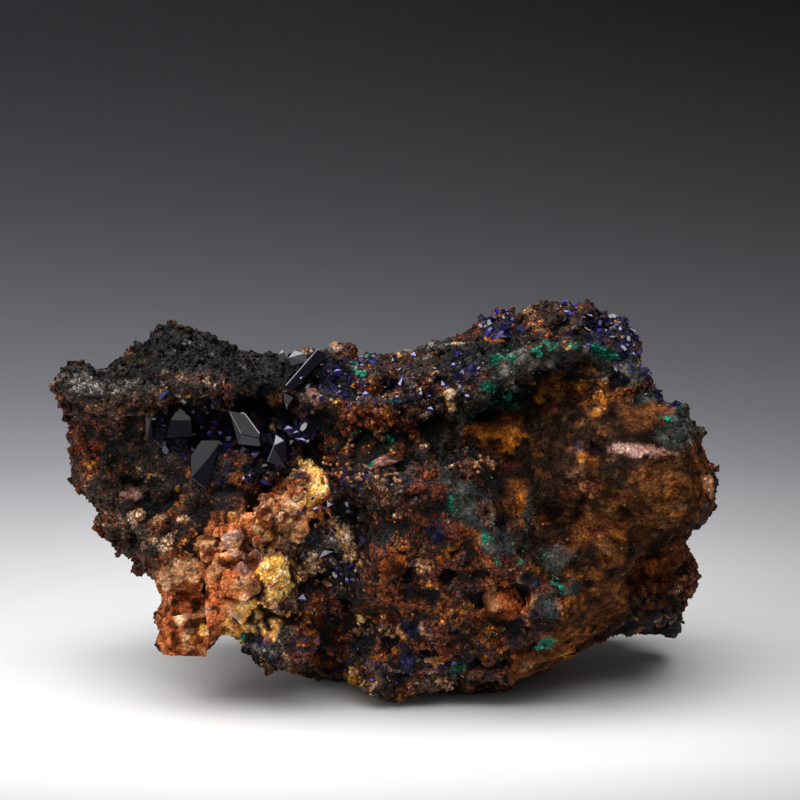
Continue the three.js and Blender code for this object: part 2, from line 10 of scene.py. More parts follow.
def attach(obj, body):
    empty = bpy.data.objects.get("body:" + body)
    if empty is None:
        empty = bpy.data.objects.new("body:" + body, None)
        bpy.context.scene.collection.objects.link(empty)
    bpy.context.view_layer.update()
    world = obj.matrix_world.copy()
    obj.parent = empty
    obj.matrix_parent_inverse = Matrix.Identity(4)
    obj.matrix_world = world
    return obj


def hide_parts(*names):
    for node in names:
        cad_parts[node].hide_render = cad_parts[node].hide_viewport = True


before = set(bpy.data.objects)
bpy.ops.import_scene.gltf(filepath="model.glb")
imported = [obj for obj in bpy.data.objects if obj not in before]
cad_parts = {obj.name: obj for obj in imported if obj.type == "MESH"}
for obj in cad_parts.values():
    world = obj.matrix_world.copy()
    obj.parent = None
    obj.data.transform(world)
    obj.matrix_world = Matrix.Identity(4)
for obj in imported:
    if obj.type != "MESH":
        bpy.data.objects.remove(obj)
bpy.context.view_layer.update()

# The rock: a lump of limonite gossan, brown iron oxide with rust, ochre and brick-red parts, a grey-green
# crust round the bowl on the right and tan grains all over. It weathered out as one spongy, crumbly
# piece. Its places are given as seen from the show face, in mm right of the middle and above the foot.

# How far off the eye is and how far it looks down, the point it aims at, and where that point is seen.
MM = 0.001
SIGHT_DISTANCE = 650
SIGHT_TILT = math.radians(10)
SIGHT_AIM = Vector((3.6, 1.5, 65.3))
SEEN_AIM = (3.4, 67)
ahead = Vector((0, math.cos(SIGHT_TILT), -math.sin(SIGHT_TILT)))
upward = Vector((0, -ahead.z, ahead.y))
eye = SIGHT_AIM - ahead * SIGHT_DISTANCE


def vertex_rows(mesh, name):
    """The places or the normals of a mesh's vertices, one row each."""
    rows = np.empty(len(mesh.vertices) * 3, np.float32)
    mesh.vertices.foreach_get(name, rows)
    return rows.reshape(-1, 3)


def place_vertices(mesh, places):
    mesh.vertices.foreach_set("co", places.astype(np.float32).ravel())
    mesh.update()


def seen_points(mesh):
    """Where a mesh's vertices are seen, as x and z in mm, and their places in mm."""
    places = vertex_rows(mesh, "co") / MM
    away = places - np.array(eye)
    scale = SIGHT_DISTANCE / (away @ np.array(ahead))
    right, up = away[:, 0] * scale, away @ np.array(upward) * scale
    return np.stack([SEEN_AIM[0] + right, SEEN_AIM[1] + up], 1), places


def sight_to(x, z):
    """The direction from the eye to the place that is seen at x, z."""
    aside = Vector((x - SEEN_AIM[0], 0, 0)) + upward * (z - SEEN_AIM[1])
    return (ahead * SIGHT_DISTANCE + aside).normalized()


NOISE_TURN = np.array(Euler((0.5, 0.3, 0.8)).to_matrix()).T
NOISE_STEPS = (73856093, 19349663, 83492791)


def noise_over(places, wave, octaves=1, seed=0):
    """Smooth noise at each place, from about -1 to 1, in waves of this many mm."""
    turned = places @ NOISE_TURN / wave + 31.7 * seed
    total, strength = np.zeros(len(places)), 1.0
    for _ in range(octaves):
        cell = np.floor(turned)
        part = turned - cell
        part = part * part * (3 - 2 * part)
        cell = cell.astype(np.int64)
        for corner in np.ndindex(2, 2, 2):
            mixed = ((cell + corner) * NOISE_STEPS).astype(np.int64)
            mixed = mixed[:, 0] ^ mixed[:, 1] ^ mixed[:, 2]
            mixed = ((mixed ^ mixed >> 13) * 1274126177) & 0xFFFFF
            weight = np.prod(np.where(corner, part, 1 - part), axis=1)
            total += strength * weight * (mixed / 0x7FFFF - 1)
        turned = turned[:, [1, 2, 0]] * 2.1 + 9.4
        strength *= 0.55
    return total


def cells_over(places, wave):
    """How far each place is from the nearest and from the second nearest of scattered centres."""
    far = [noise.voronoi(Vector(place) / wave)[0] for place in places]
    return np.array([(near, second) for near, second, *_ in far])


def cell_middles(places, wave):
    """The middle of the cell that each place lies in, counted in cells of this many mm."""
    return np.array([noise.voronoi(Vector(place) / wave)[1][0] for place in places])


def grains_over(places, wave):
    """A random value from 0 to 1 for the cell that each place lies in."""
    return (np.sin(cell_middles(places, wave) @ np.array([12.9898, 78.233, 37.719])) * 4375.85) % 1


def facets_over(places, wave):
    """Heights in mm of tilted flat facets, each in a cell of this many mm."""
    middles = cell_middles(places, wave) * wave
    lean = np.sin(middles @ np.array([[3.1, 1.7, 5.3], [2.3, 4.1, 1.9], [4.7, 3.7, 2.9]]) * 7)
    return ((places - middles) * lean).sum(1)


def ramped(values, low, high):
    """Values eased from 0 at low to 1 at high."""
    share = np.clip((values - low) / (high - low), 0, 1)
    return share * share * (3 - 2 * share)


def settled(piece):
    """The piece with its modifiers applied."""
    mesh = bpy.data.meshes.new_from_object(piece.evaluated_get(bpy.context.evaluated_depsgraph_get()))
    piece.modifiers.clear()
    piece.data = mesh
    return piece


def new_piece(name, mesh):
    piece = bpy.data.objects.new(name, mesh)
    bpy.context.scene.collection.objects.link(piece)
    return piece


def triangles(mesh):
    return sum(len(face.vertices) - 2 for face in mesh.polygons)


def remeshed(piece, voxel):
    modifier = piece.modifiers.new("grain", "REMESH")
    modifier.mode = "VOXEL"
    modifier.voxel_size = voxel * MM
    return settled(piece)


def push(mesh, amounts):
    """Moves every vertex out along its normal, by amounts in mm."""
    place_vertices(mesh, vertex_rows(mesh, "co") + vertex_rows(mesh, "normal") * amounts[:, None] * MM)


# Each finish lies in seen patches of x, z, half width and half height, in mm. A later finish covers an
# earlier one.
PATCHES = {
    "murk": [(-55, 49, 15, 14), (-50, 40, 12, 8), (-36, 68, 16, 4), (0, 66, 24, 9), (5, 56, 18, 8),
        (-28, 13, 6, 8), (4, 9, 20, 10), (42, 76, 16, 8), (-10, 44, 8, 10), (-6, 38, 8, 6), (4, 79, 8, 2)],
    "goethite": [(-62, 72, 15, 6), (-45, 78, 14, 7), (-30, 74, 12, 6), (-20, 78, 8, 3), (22, 78, 12, 5),
        (-49, 20, 2.5, 5), (-27, 12, 4, 5), (14, 78.4, 7, 1.6)],
    "maroon": [(10, 29, 16, 20), (14, 46, 9, 9), (64, 24, 9, 12), (30, 8, 10, 7), (-3, 62, 10, 5),
        (8, 10, 10, 6), (-14, 14, 7, 8)],
    "brown": [(60, 49, 16, 13), (47, 58, 15, 9), (38, 50, 12, 12), (41, 37, 12, 10), (48, 22, 10, 13),
        (33, 61, 12, 9), (58, 34, 12, 8), (28, 48, 8, 8), (36, 66, 8, 5)],
    "earth": [(60, 43, 12, 7), (50, 36, 10, 8), (47, 26, 8, 8), (51, 18, 8, 6), (40, 10, 8, 7),
        (30, 46, 3, 5), (25, 59, 8, 4), (58, 64, 6, 3), (70, 54, 4, 4), (64, 48, 8, 6), (38, 69.5, 6, 2.4),
        (47, 20, 8, 7), (35, 6, 6, 5), (45, 17, 7, 6), (52, 27, 6, 6)],
    "velvet": [(66, 61, 5, 3.4), (59, 68, 4, 3), (53, 75, 5, 3), (46, 76.4, 6, 2.6), (39, 76, 6, 3),
        (34, 76.4, 4, 2.4), (30, 74.6, 3, 2.4), (27, 70.4, 3.2, 3.4), (28.4, 66.4, 2, 1.8),
        (22.4, 65, 5, 2), (18, 62.4, 2, 2), (14.6, 59, 2.6, 3), (13.4, 51, 2, 5), (18, 46, 4.4, 5),
        (25.4, 35.4, 4.4, 3.4), (32, 39, 2.4, 6), (39, 31.6, 4.4, 2.6), (41.4, 24.6, 2.4, 2.6),
        (36.6, 20.4, 2, 3), (18.4, 41, 3.6, 3.6)],
    "ash": [(-65, 70, 9, 3), (33, 75.8, 4.4, 1.9), (44, 76, 4, 1.6), (52, 75.4, 2.4, 1), (28.6, 71, 1.6, 2),
        (8, 79, 7, 1.5), (-14, 32, 3, 2), (-28, 29, 2, 1.4), (-13.5, 79, 6, 1.4), (17, 80.6, 3, 1),
        (-10, 36, 3, 3), (-17, 27, 2, 2), (24.4, 21.5, 1.1, 1), (-25, 13, 3, 3)],
    # The umber patches are painted shade, darker in the bowl on the right and in the recesses below it.
    "umber": [(42, 60, 8, 4), (37, 50, 6, 8), (29, 57, 3, 4), (33, 54, 3, 6), (33, 62, 4, 4),
        (50, 52, 6, 2), (66, 33, 4, 5), (63, 22, 6, 4), (16.6, 53, 3, 5), (15, 60, 2, 3), (45, 30, 3, 4)],
    # The black patches are painted shade in the hollows and crevices and under the ledges.
    "black": [(-36, 59, 17, 8), (30.4, 71.4, 1.2, 2.4), (51, 71.4, 2.4, 1.4), (24, 45, 2.2, 5),
        (31.6, 25.6, 2.4, 3.6), (59, 16, 10, 3.4), (-16, 72, 6, 6), (-21, 26.5, 1.6, 4.6),
        (22, 63.3, 4, 1.2), (-13, 47, 3, 2), (46, 56.6, 5, 1.2), (-11, 44, 4, 2.2), (-9.8, 28, 2.4, 3),
        (-3, 36, 1.6, 3.4), (-7.6, 22.4, 2.6, 2.6), (-5, 12, 2.4, 3), (6, 8, 3, 3), (44, 71, 2.4, 1),
        (11, 43.4, 4, 2)],
    "rust": [(-66, 57, 3.5, 5.5), (66, 32, 4, 3), (60, 27, 5, 4), (-29, 47, 6, 2.6), (6, 39, 7, 6),
        (2, 22, 8, 8), (20, 30, 5, 5), (22, 16, 7, 5), (-2, 70, 2.5, 2), (11, 71, 3, 3), (2, 57, 5, 3),
        (-52, 41, 6, 3), (-13, 52, 6, 3), (-48, 30, 5, 5), (-14, 14, 4, 5), (-30, 37, 4, 3),
        (-14, 58.8, 2.6, 2.2), (10.3, 71.5, 2, 1.8), (-15, 14, 5, 6), (-10.5, 15.5, 3.4, 5), (16, 34, 6, 5),
        (36.7, 87.2, 1.8, 1), (10.8, 40.5, 2.4, 3)],
    "orange": [(48.5, 68, 5.8, 3.4), (24, 59.6, 7, 1.6), (34, 68, 2, 2), (1, 60, 3, 1.2), (0.5, 56, 3, 1.6),
        (46, 73, 2, 1), (30.6, 43, 1.2, 5), (35.4, 26.6, 1, 2.6), (-35, 52, 2, 2.5), (-44, 33, 3, 3),
        (24, 82, 3, 1.6), (-44, 85, 2, 1), (25.4, 58.4, 4.4, 2.4), (43, 12, 3, 5), (-37, 30, 4, 3),
        (3.5, 13, 2, 2), (-1, 9, 2, 1.4), (8, 17, 2, 1.4), (-7.8, 56.8, 1.2, 1.8), (5.8, 60, 1, 1.6),
        (0.7, 64, 1.6, 0.9), (11, 20.5, 2, 2.4), (20, 19.8, 2.4, 1.8), (22.6, 14.2, 2.6, 1.2),
        (13, 7.4, 4, 0.6), (-7, 78.6, 1.4, 0.9), (15, 35, 2.6, 3), (3, 34, 2, 4)],
    "brick": [(-42, 20, 10, 11), (-35, 31, 8, 9), (-19.5, 43, 8, 6), (-28, 38, 8, 6), (-45, 12, 8, 6),
        (-50, 23, 3, 4), (27, 22.2, 5.4, 4.4)],
    "buff": [(-44, 27.6, 3.4, 2.6), (-17, 49.6, 2.6, 2.4), (-32.2, 26.2, 3.4, 3.4), (-26.4, 36, 3, 2.4),
        (-26.4, 41, 2.6, 3), (-21, 42.6, 3, 3.4), (-49.6, 27, 1.8, 2.6), (-43.6, 12.8, 2, 2),
        (-19, 37.6, 1.8, 2.4), (8, 31, 3, 2), (73, 48.4, 1.4, 2.8)],
    "ochre": [(-24.3, 26, 4.2, 5.6), (-28, 19, 4.6, 3.4), (-18, 51, 1.8, 1.6), (-31, 20.6, 5, 3),
        (-33, 16, 4, 3), (14, 66, 1, 1), (-15.5, 46, 2.4, 3), (-9, 37, 2, 1), (-5, 16.6, 1.8, 1.3),
        (-7.4, 5, 1.8, 1.6), (-17.2, 27.4, 2.2, 2.2), (-9.6, 36.6, 1.6, 1.6), (-25, 17, 3, 2.4),
        (14.6, 68.5, 1.6, 1.4)],
    "tan": [(-20, 46, 2.5, 2.2), (-27, 16.4, 3, 1.6), (-12, 38.5, 2, 1.4), (-22, 38, 3, 4), (-46, 27, 5, 3),
        (-50.6, 27, 2, 2), (-55, 41, 4, 2), (-46, 40, 2, 2), (-49, 35, 2, 2), (15, 68.5, 1.6, 1.4),
        (-3.4, 3, 1.6, 1.4), (5.6, 2.6, 1.4, 1.2), (14.6, 3, 1.4, 1.2), (66, 42, 2, 0.8), (3, 59, 2, 1.2),
        (-34, 18, 2, 1.6), (-27, 38, 2.4, 1.6), (-18, 79, 1.4, 1.2), (-11, 79.4, 1, 0.8),
        (17, 81.2, 1, 0.8), (-0.9, 58.7, 1.8, 1.4), (-5.8, 50, 1.2, 1.2), (1.3, 49.5, 2.4, 0.9),
        (-16, 29, 3, 3), (-9, 34, 2, 4), (2.6, 14.8, 2.4, 1.2), (-3, 14.8, 2, 1.1), (10.4, 8.8, 2.8, 1),
        (5.6, 2.2, 1.6, 1.5), (11.9, 4.2, 1.4, 1.1), (14.5, 2, 1.7, 1.5), (29.3, 26.4, 0.7, 1.6),
        (-26.5, 8.4, 1.5, 0.9), (9, 15, 1.6, 1), (23, 53.4, 1.6, 1.8), (47.4, 80.4, 1.4, 1.2),
        (31.5, 88, 1.6, 0.8)],
    "pink": [(58.7, 56.4, 7.6, 1.8), (-57, 47, 3.5, 2), (-43, 15, 2, 2), (-31, 32, 4, 3), (-34, 34, 3, 3),
        (0, 52.8, 4, 1.3), (-16.6, 67.4, 2.4, 2.4), (-30, 27, 1.2, 1)],
    "blue": [(19, 72.8, 3, 3), (25, 85, 5, 3), (52, 83, 7, 5), (64, 68, 4, 1.8), (-45, 61, 4, 3),
        (-51, 61, 2, 2.5), (-37, 54.5, 3, 2), (-13, 73.5, 3, 2), (9.4, 38.2, 1.2, 1), (-18, 60, 3, 4),
        (-23.5, 20, 2.4, 1), (-27, 14, 1.2, 0.8), (-14, 12.6, 1.4, 1.4), (-19, 11.6, 1.4, 1),
        (-17, 25, 0.8, 0.8), (-38, 49.6, 2, 1.4), (-9, 53, 2, 1), (-5.5, 75.4, 5, 2.6), (-9, 70, 4.6, 3),
        (-17, 61, 3, 1.6), (-9.4, 50, 3, 2.4), (-5, 48.4, 2, 1.4), (3, 49.8, 2, 0.8), (6, 15, 3.6, 2),
        (29.5, 16, 2.8, 1.2), (5, 9, 3, 2.4), (12, 37.6, 1.4, 2.2), (-25.5, 14.4, 1, 1),
        (-22, 12, 0.8, 0.8)],
    "green": [(-6.3, 61, 0.8, 0.8), (1.3, 58, 1.4, 0.9), (48.3, 77.8, 2.4, 1), (42.7, 79.3, 1.2, 0.8),
        (36, 80.4, 1.2, 0.6), (66.3, 65.6, 1.4, 0.6), (26, 30.5, 0.8, 0.6), (30.5, 31, 0.8, 0.6),
        (38.7, 26, 1.2, 0.9), (34.9, 12, 1.2, 0.9), (17, 5.8, 0.9, 0.7), (20, 63, 0.8, 2),
        (-5.2, 61.3, 0.8, 0.8), (2, 57.3, 1.4, 1.8), (-2, 53.2, 1.2, 0.7), (2, 66.3, 1, 0.9),
        (-3.4, 77.1, 1.2, 0.9), (-6.5, 73.9, 1.3, 1), (23.4, 69.4, 2, 1.1), (25.8, 66.8, 2, 0.9),
        (25.4, 75.4, 0.9, 1.6), (28, 77.3, 1.8, 1.5), (15.7, 42.9, 0.8, 1.3), (22.9, 36.6, 1.1, 1.5),
        (36, 12.2, 1.8, 1.5), (17.2, 5.6, 1.5, 1), (-31.6, 13.4, 0.6, 0.8), (49, 77.4, 2.6, 1.4),
        (38, 80, 1.6, 0.8)],
}
# On the sides that aren't in sight each finish lies where wide noise is above this.
ELSEWHERE = {"murk": 0.1, "goethite": 0.15, "maroon": 0.25, "brown": 0.0, "earth": 0.35, "rust": 0.35,
             "orange": 0.6, "brick": 0.62, "ochre": 0.8, "tan": 0.75, "velvet": 0.6, "black": 0.7}


# How far noise bends the patches' edges, in mm, where they end and begin as shares of their size, and the
# depths y between which they give way to wide noise.
PATCH_BEND = 1.9
PATCH_EDGE = (1.4, 0.5)
FRONT_FADE = (30, 14)


def inside(seen, patches, edge, ragged=0):
    """How far each point lies in the patches, which end softly across the edge, from 0 to 1."""
    share = np.zeros(len(seen))
    for x, z, half_wide, half_tall in patches:
        away = np.hypot((seen[:, 0] - x) / half_wide, (seen[:, 1] - z) / half_tall)
        share = np.maximum(share, ramped(away + ragged, *edge))
    return share


def patch_shares(mesh):
    """How far each vertex lies in each finish's patches, from 0 to 1, and its place in mm."""
    seen, places = seen_points(mesh)
    bent = seen + PATCH_BEND * np.stack([noise_over(places, 7, 3, 50), noise_over(places, 7, 3, 51)], 1)
    front = ramped(places[:, 1], *FRONT_FADE)
    shares = {}
    for i, (finish, patches) in enumerate(PATCHES.items()):
        shares[finish] = inside(bent, patches, PATCH_EDGE) * front
        if finish in ELSEWHERE:
            level = ELSEWHERE[finish]
            wild = ramped(noise_over(places, 22, 2, 60 + i), level - 0.2, level + 0.3)
            shares[finish] += wild * (1 - front)
    return shares, places


# Each finish's colours, dark to light, in linear light, with the tone at which each is reached.
FINISHES = {
    "base": [(0, (0.003, 0.002, 0.0015)), (0.45, (0.026, 0.012, 0.0075)), (0.75, (0.13, 0.054, 0.025)),
        (1, (0.42, 0.2, 0.095))],
    "murk": [(0, (0.003, 0.002, 0.0015)), (0.5, (0.03, 0.018, 0.013)), (0.8, (0.12, 0.068, 0.048)),
        (1, (0.42, 0.27, 0.19))],
    "goethite": [(0, (0.0006, 0.0006, 0.0006)), (0.45, (0.0026, 0.0024, 0.0022)),
        (0.75, (0.018, 0.0155, 0.0138)), (1, (0.15, 0.13, 0.115))],
    "ash": [(0, (0.008, 0.007, 0.0065)), (0.5, (0.09, 0.075, 0.066)), (1, (0.42, 0.37, 0.33))],
    "maroon": [(0, (0.002, 0.0006, 0.0005)), (0.4, (0.044, 0.0095, 0.0048)), (0.75, (0.19, 0.042, 0.016)),
        (1, (0.6, 0.2, 0.075))],
    "brown": [(0, (0.002, 0.0009, 0.0004)), (0.5, (0.013, 0.0055, 0.0028)), (0.8, (0.045, 0.02, 0.01)),
        (1, (0.18, 0.085, 0.04))],
    "earth": [(0, (0.006, 0.002, 0.0006)), (0.5, (0.085, 0.028, 0.0072)), (0.8, (0.23, 0.083, 0.022)),
        (1, (0.5, 0.23, 0.08))],
    "velvet": [(0, (0.003, 0.0035, 0.003)), (0.5, (0.027, 0.029, 0.0255)), (0.8, (0.077, 0.082, 0.072)),
        (1, (0.24, 0.26, 0.23))],
    # Umber and black serve as painted shade in their seen patches; in the small spots, and black on the
    # unseen sides too, they are dark rock.
    "umber": [(0, (0.001, 0.0005, 0.0003)), (0.5, (0.007, 0.0034, 0.0018)), (0.8, (0.026, 0.012, 0.006)),
        (1, (0.12, 0.055, 0.025))],
    "black": [(0, (0.0005, 0.0005, 0.0007)), (0.7, (0.005, 0.004, 0.005)), (1, (0.06, 0.045, 0.06))],
    "rust": [(0, (0.003, 0.0008, 0.0004)), (0.4, (0.055, 0.012, 0.003)), (0.75, (0.24, 0.055, 0.01)),
        (1, (0.62, 0.24, 0.06))],
    "orange": [(0, (0.015, 0.004, 0.001)), (0.45, (0.22, 0.058, 0.007)), (0.8, (0.52, 0.17, 0.02)),
        (1, (0.85, 0.42, 0.09))],
    "brick": [(0, (0.045, 0.008, 0.003)), (0.35, (0.31, 0.062, 0.018)), (0.7, (0.62, 0.18, 0.055)),
        (1, (0.88, 0.5, 0.29))],
    "buff": [(0, (0.06, 0.017, 0.007)), (0.4, (0.38, 0.15, 0.058)), (0.75, (0.68, 0.38, 0.18)),
        (1, (0.9, 0.72, 0.5))],
    "ochre": [(0, (0.24, 0.065, 0.006)), (0.3, (0.84, 0.31, 0.03)), (0.7, (0.98, 0.52, 0.1)),
        (1, (1, 0.74, 0.38))],
    "tan": [(0, (0.03, 0.011, 0.005)), (0.5, (0.4, 0.19, 0.085)), (0.8, (0.72, 0.45, 0.26)),
        (1, (0.9, 0.76, 0.6))],
    "pink": [(0, (0.07, 0.025, 0.018)), (0.5, (0.25, 0.115, 0.085)), (1, (0.6, 0.38, 0.32))],
    "blue": [(0, (0.001, 0.001, 0.003)), (0.5, (0.004, 0.0037, 0.022)), (0.85, (0.024, 0.021, 0.13)),
        (1, (0.16, 0.14, 0.55))],
    "green": [(0, (0.001, 0.02, 0.012)), (0.5, (0.004, 0.1, 0.06)), (1, (0.04, 0.42, 0.27))],
}


def colours_at(stops, tones):
    """The colours along a finish's stops, for tones from 0 to 1."""
    spots = [spot for spot, _ in stops]
    return np.stack([np.interp(tones, spots, [colour[i] for _, colour in stops]) for i in range(3)], 1)


def smoothness(shares):
    """How smooth and earthy the rock is, from 0 to 1."""
    earthy = np.maximum.reduce([shares["brown"], shares["earth"], 0.8 * shares["velvet"], shares["pink"]])
    return earthy * (1 - shares["goethite"]) * (1 - 0.5 * shares["black"])


# Small clusters of other finishes in the rough, smooth, brick-red and ochre parts: how softly they end, how
# they are squeezed along x, y and z, and for each finish the waves in mm and the level of noise above
# which it lies.
SPOTS = {
    "rough": (0.15, (1, 1, 1), {
        "rust": (4.0, 0.55), "murk": (3.0, 0.5), "tan": (2.6, 0.9), "maroon": (3.5, 0.55),
        "black": (2.8, 0.62), "orange": (2.4, 0.82), "ash": (2.2, 0.95), "blue": (2.0, 0.88),
        "ochre": (2.0, 1.0)}),
    "smooth": (0.5, (0.6, 0.6, 1.3), {
        "maroon": (5.0, 0.45), "brown": (3.0, 0.15), "orange": (2.6, 0.5), "velvet": (4.0, 0.85),
        "umber": (2.4, 0.4)}),
    "brick": (0.3, (1, 1, 1), {
        "rust": (3.0, 0.1), "buff": (4.5, 0.3), "ochre": (4.0, 0.9), "pink": (3.4, 1.0),
        "maroon": (2.0, 0.5)}),
    "ochre": (0.3, (1, 1, 1), {"brick": (3.4, 0.5), "buff": (2.2, 0.6), "rust": (1.6, 1.1)}),
}
STAIN_SEED = 100


def stain_and_shade(mesh, shares, places, tones):
    """Colours a mesh by the finishes that meet at each vertex, with painted shade from the black and umber
    patches and from tones lowered in pits, and keeps the colour as an attribute.
    """
    lighter = 0.2 * np.maximum(shares["ochre"], 0.3 * shares["brick"])
    tones = np.clip(np.clip(tones, 0, 1) + lighter, 0, 1)
    colours = colours_at(FINISHES["base"], tones)
    for i, (finish, patch) in enumerate(shares.items()):
        touched = patch > 0.03
        draw = 0.25 * noise_over(places[touched], 9, 1, STAIN_SEED + 50 + i)
        draw += 0.42 * noise_over(places[touched], 2.8, 3, STAIN_SEED + i)
        share = ramped(patch[touched] + draw, 0.32, 0.68)[:, None]
        colours[touched] += share * (colours_at(FINISHES[finish], tones[touched]) - colours[touched])
    plain_finishes = ("goethite", "velvet", "ochre", "pink", "ash", "green")
    plain = np.maximum.reduce([shares[finish] for finish in plain_finishes])
    earthy = np.maximum(shares["brown"], shares["earth"]) * (1 - 0.7 * shares["umber"])
    parts = {"rough": (1 - smoothness(shares)) * (1 - plain) * (1 - shares["brick"]),
             "smooth": earthy * (1 - 0.7 * shares["velvet"]) * (1 - shares["goethite"]),
             "brick": shares["brick"] * (1 - shares["ochre"]), "ochre": shares["ochre"]}
    for part, (softness, stretch, finishes) in SPOTS.items():
        for i, (finish, (wave, level)) in enumerate(finishes.items()):
            share = noise_over(places * stretch, wave, 3, STAIN_SEED + 30 + i)
            share = parts[part] * ramped(share, level, level + softness)
            share = np.where(share > 0.05, share, 0)[:, None]
            colours += share * (colours_at(FINISHES[finish], tones) - colours)
    attribute = mesh.attributes.get("stain_and_shade") or mesh.attributes.new("stain_and_shade", "FLOAT_COLOR", "POINT")
    attribute.data.foreach_set("color", np.c_[colours, np.ones(len(colours))].astype(np.float32).ravel())


def keep_share(mesh, name, share):
    """Keeps one value for each vertex as an attribute."""
    attribute = mesh.attributes.get(name) or mesh.attributes.new(name, "FLOAT", "POINT")
    attribute.data.foreach_set("value", share.astype(np.float32))


def kept_share(mesh, name):
    share = np.empty(len(mesh.vertices), np.float32)
    mesh.attributes[name].data.foreach_get("value", share)
    return share


# How strongly the sizes of scattered copies lean to the small.
SMALLER_OFTEN = 1.7


def scattered(name, ground, where, spacing, shapes, size, lean, seed, sink=0.0):
    """A new piece: copies of the shapes that stand all over the ground where its attribute is high."""
    tree = bpy.data.node_groups.new(name, "GeometryNodeTree")
    tree.interface.new_socket("Geometry", in_out="INPUT", socket_type="NodeSocketGeometry")
    tree.interface.new_socket("Geometry", in_out="OUTPUT", socket_type="NodeSocketGeometry")
    link = tree.links.new

    def node(kind, **values):
        made = tree.nodes.new(kind)
        for key, value in values.items():
            setattr(made, key, value)
        return made

    share = node("GeometryNodeInputNamedAttribute", data_type="FLOAT")
    share.inputs["Name"].default_value = where
    points = node("GeometryNodeDistributePointsOnFaces", distribute_method="POISSON")
    points.inputs["Distance Min"].default_value = spacing * MM
    points.inputs["Density Max"].default_value = 1.2 / (spacing * MM) ** 2
    points.inputs["Seed"].default_value = seed
    link(tree.nodes.new("NodeGroupInput").outputs[0], points.inputs["Mesh"])
    link(share.outputs["Attribute"], points.inputs["Density Factor"])

    kinds = bpy.data.collections.new(name)
    for i, shape in enumerate(shapes):
        kinds.objects.link(bpy.data.objects.new(f"{name}_{i}", shape))
    grains = node("GeometryNodeCollectionInfo", transform_space="ORIGINAL")
    grains.inputs["Collection"].default_value = kinds
    grains.inputs["Separate Children"].default_value = True
    grains.inputs["Reset Children"].default_value = True

    def drawn(kind, low, high, offset):
        draw = node("FunctionNodeRandomValue", data_type=kind)
        sockets = [socket for socket in draw.inputs if socket.enabled]
        sockets[0].default_value, sockets[1].default_value = low, high
        next(socket for socket in sockets if socket.name == "Seed").default_value = seed + offset
        return next(socket for socket in draw.outputs if socket.enabled)

    turn = node("FunctionNodeRotateRotation", rotation_space="LOCAL")
    link(points.outputs["Rotation"], turn.inputs["Rotation"])
    euler = node("FunctionNodeEulerToRotation")
    link(drawn("FLOAT_VECTOR", (-lean, -lean, 0), (lean, lean, 2 * math.pi), 1), euler.inputs["Euler"])
    link(euler.outputs["Rotation"], turn.inputs["Rotate By"])
    place = node("GeometryNodeInstanceOnPoints")
    place.inputs["Pick Instance"].default_value = True
    link(points.outputs["Points"], place.inputs["Points"])
    link(grains.outputs["Instances"], place.inputs["Instance"])
    link(drawn("INT", 0, len(shapes) - 1, 2), place.inputs["Instance Index"])
    link(turn.outputs["Rotation"], place.inputs["Rotation"])
    smaller = node("ShaderNodeMath", operation="POWER")
    link(drawn("FLOAT", 0.0, 1.0, 3), smaller.inputs[0])
    smaller.inputs[1].default_value = SMALLER_OFTEN
    scale = node("ShaderNodeMapRange")
    link(smaller.outputs[0], scale.inputs["Value"])
    scale.inputs["To Min"].default_value, scale.inputs["To Max"].default_value = size
    link(scale.outputs["Result"], place.inputs["Scale"])
    lowered = node("GeometryNodeTranslateInstances")
    lowered.inputs["Translation"].default_value = (0, 0, -sink * MM)
    link(place.outputs["Instances"], lowered.inputs["Instances"])
    tint = node("GeometryNodeStoreNamedAttribute", data_type="FLOAT", domain="INSTANCE")
    tint.inputs["Name"].default_value = "tint"
    link(lowered.outputs["Instances"], tint.inputs["Geometry"])
    link(drawn("FLOAT", 0.0, 1.0, 4), tint.inputs["Value"])
    real = node("GeometryNodeRealizeInstances")
    link(tint.outputs["Geometry"], real.inputs["Geometry"])
    link(real.outputs["Geometry"], tree.nodes.new("NodeGroupOutput").inputs[0])

    piece = new_piece(name, ground.data)
    piece.modifiers.new("grains", "NODES").node_group = tree
    return settled(piece)


def shape_mesh(name, shape):
    mesh = bpy.data.meshes.new(name)
    shape.to_mesh(mesh)
    shape.free()
    return mesh


def joined(name, meshes):
    together = bmesh.new()
    for mesh in meshes:
        together.from_mesh(mesh)
    return shape_mesh(name, together)


def grain_shape(name, seed, sizes, rough=0.25):
    """A lumpy grain of 20 faces, 2 mm across before its sizes are applied."""
    noise.seed_set(seed)
    shape = bmesh.new()
    bmesh.ops.create_icosphere(shape, subdivisions=1, radius=MM, matrix=Matrix.Diagonal((*sizes, 1)))
    for vertex in shape.verts:
        vertex.co *= 1 + rough * (2 * noise.random() - 1)
    return shape_mesh(name, shape)


def angular_shape(name, seed, sizes, sides):
    """An angular fragment of few faces, 2 mm across before its sizes are applied."""
    noise.seed_set(seed)
    shape = bmesh.new()
    bmesh.ops.create_cone(
        shape, segments=sides, radius1=1.1 * MM, radius2=0.8 * MM, depth=1.6 * MM, cap_ends=True)
    for vertex in shape.verts:
        uneven = [size * (0.65 + 0.7 * noise.random()) for size in sizes]
        vertex.co = vertex.co * Vector(uneven)
    return shape_mesh(name, shape)


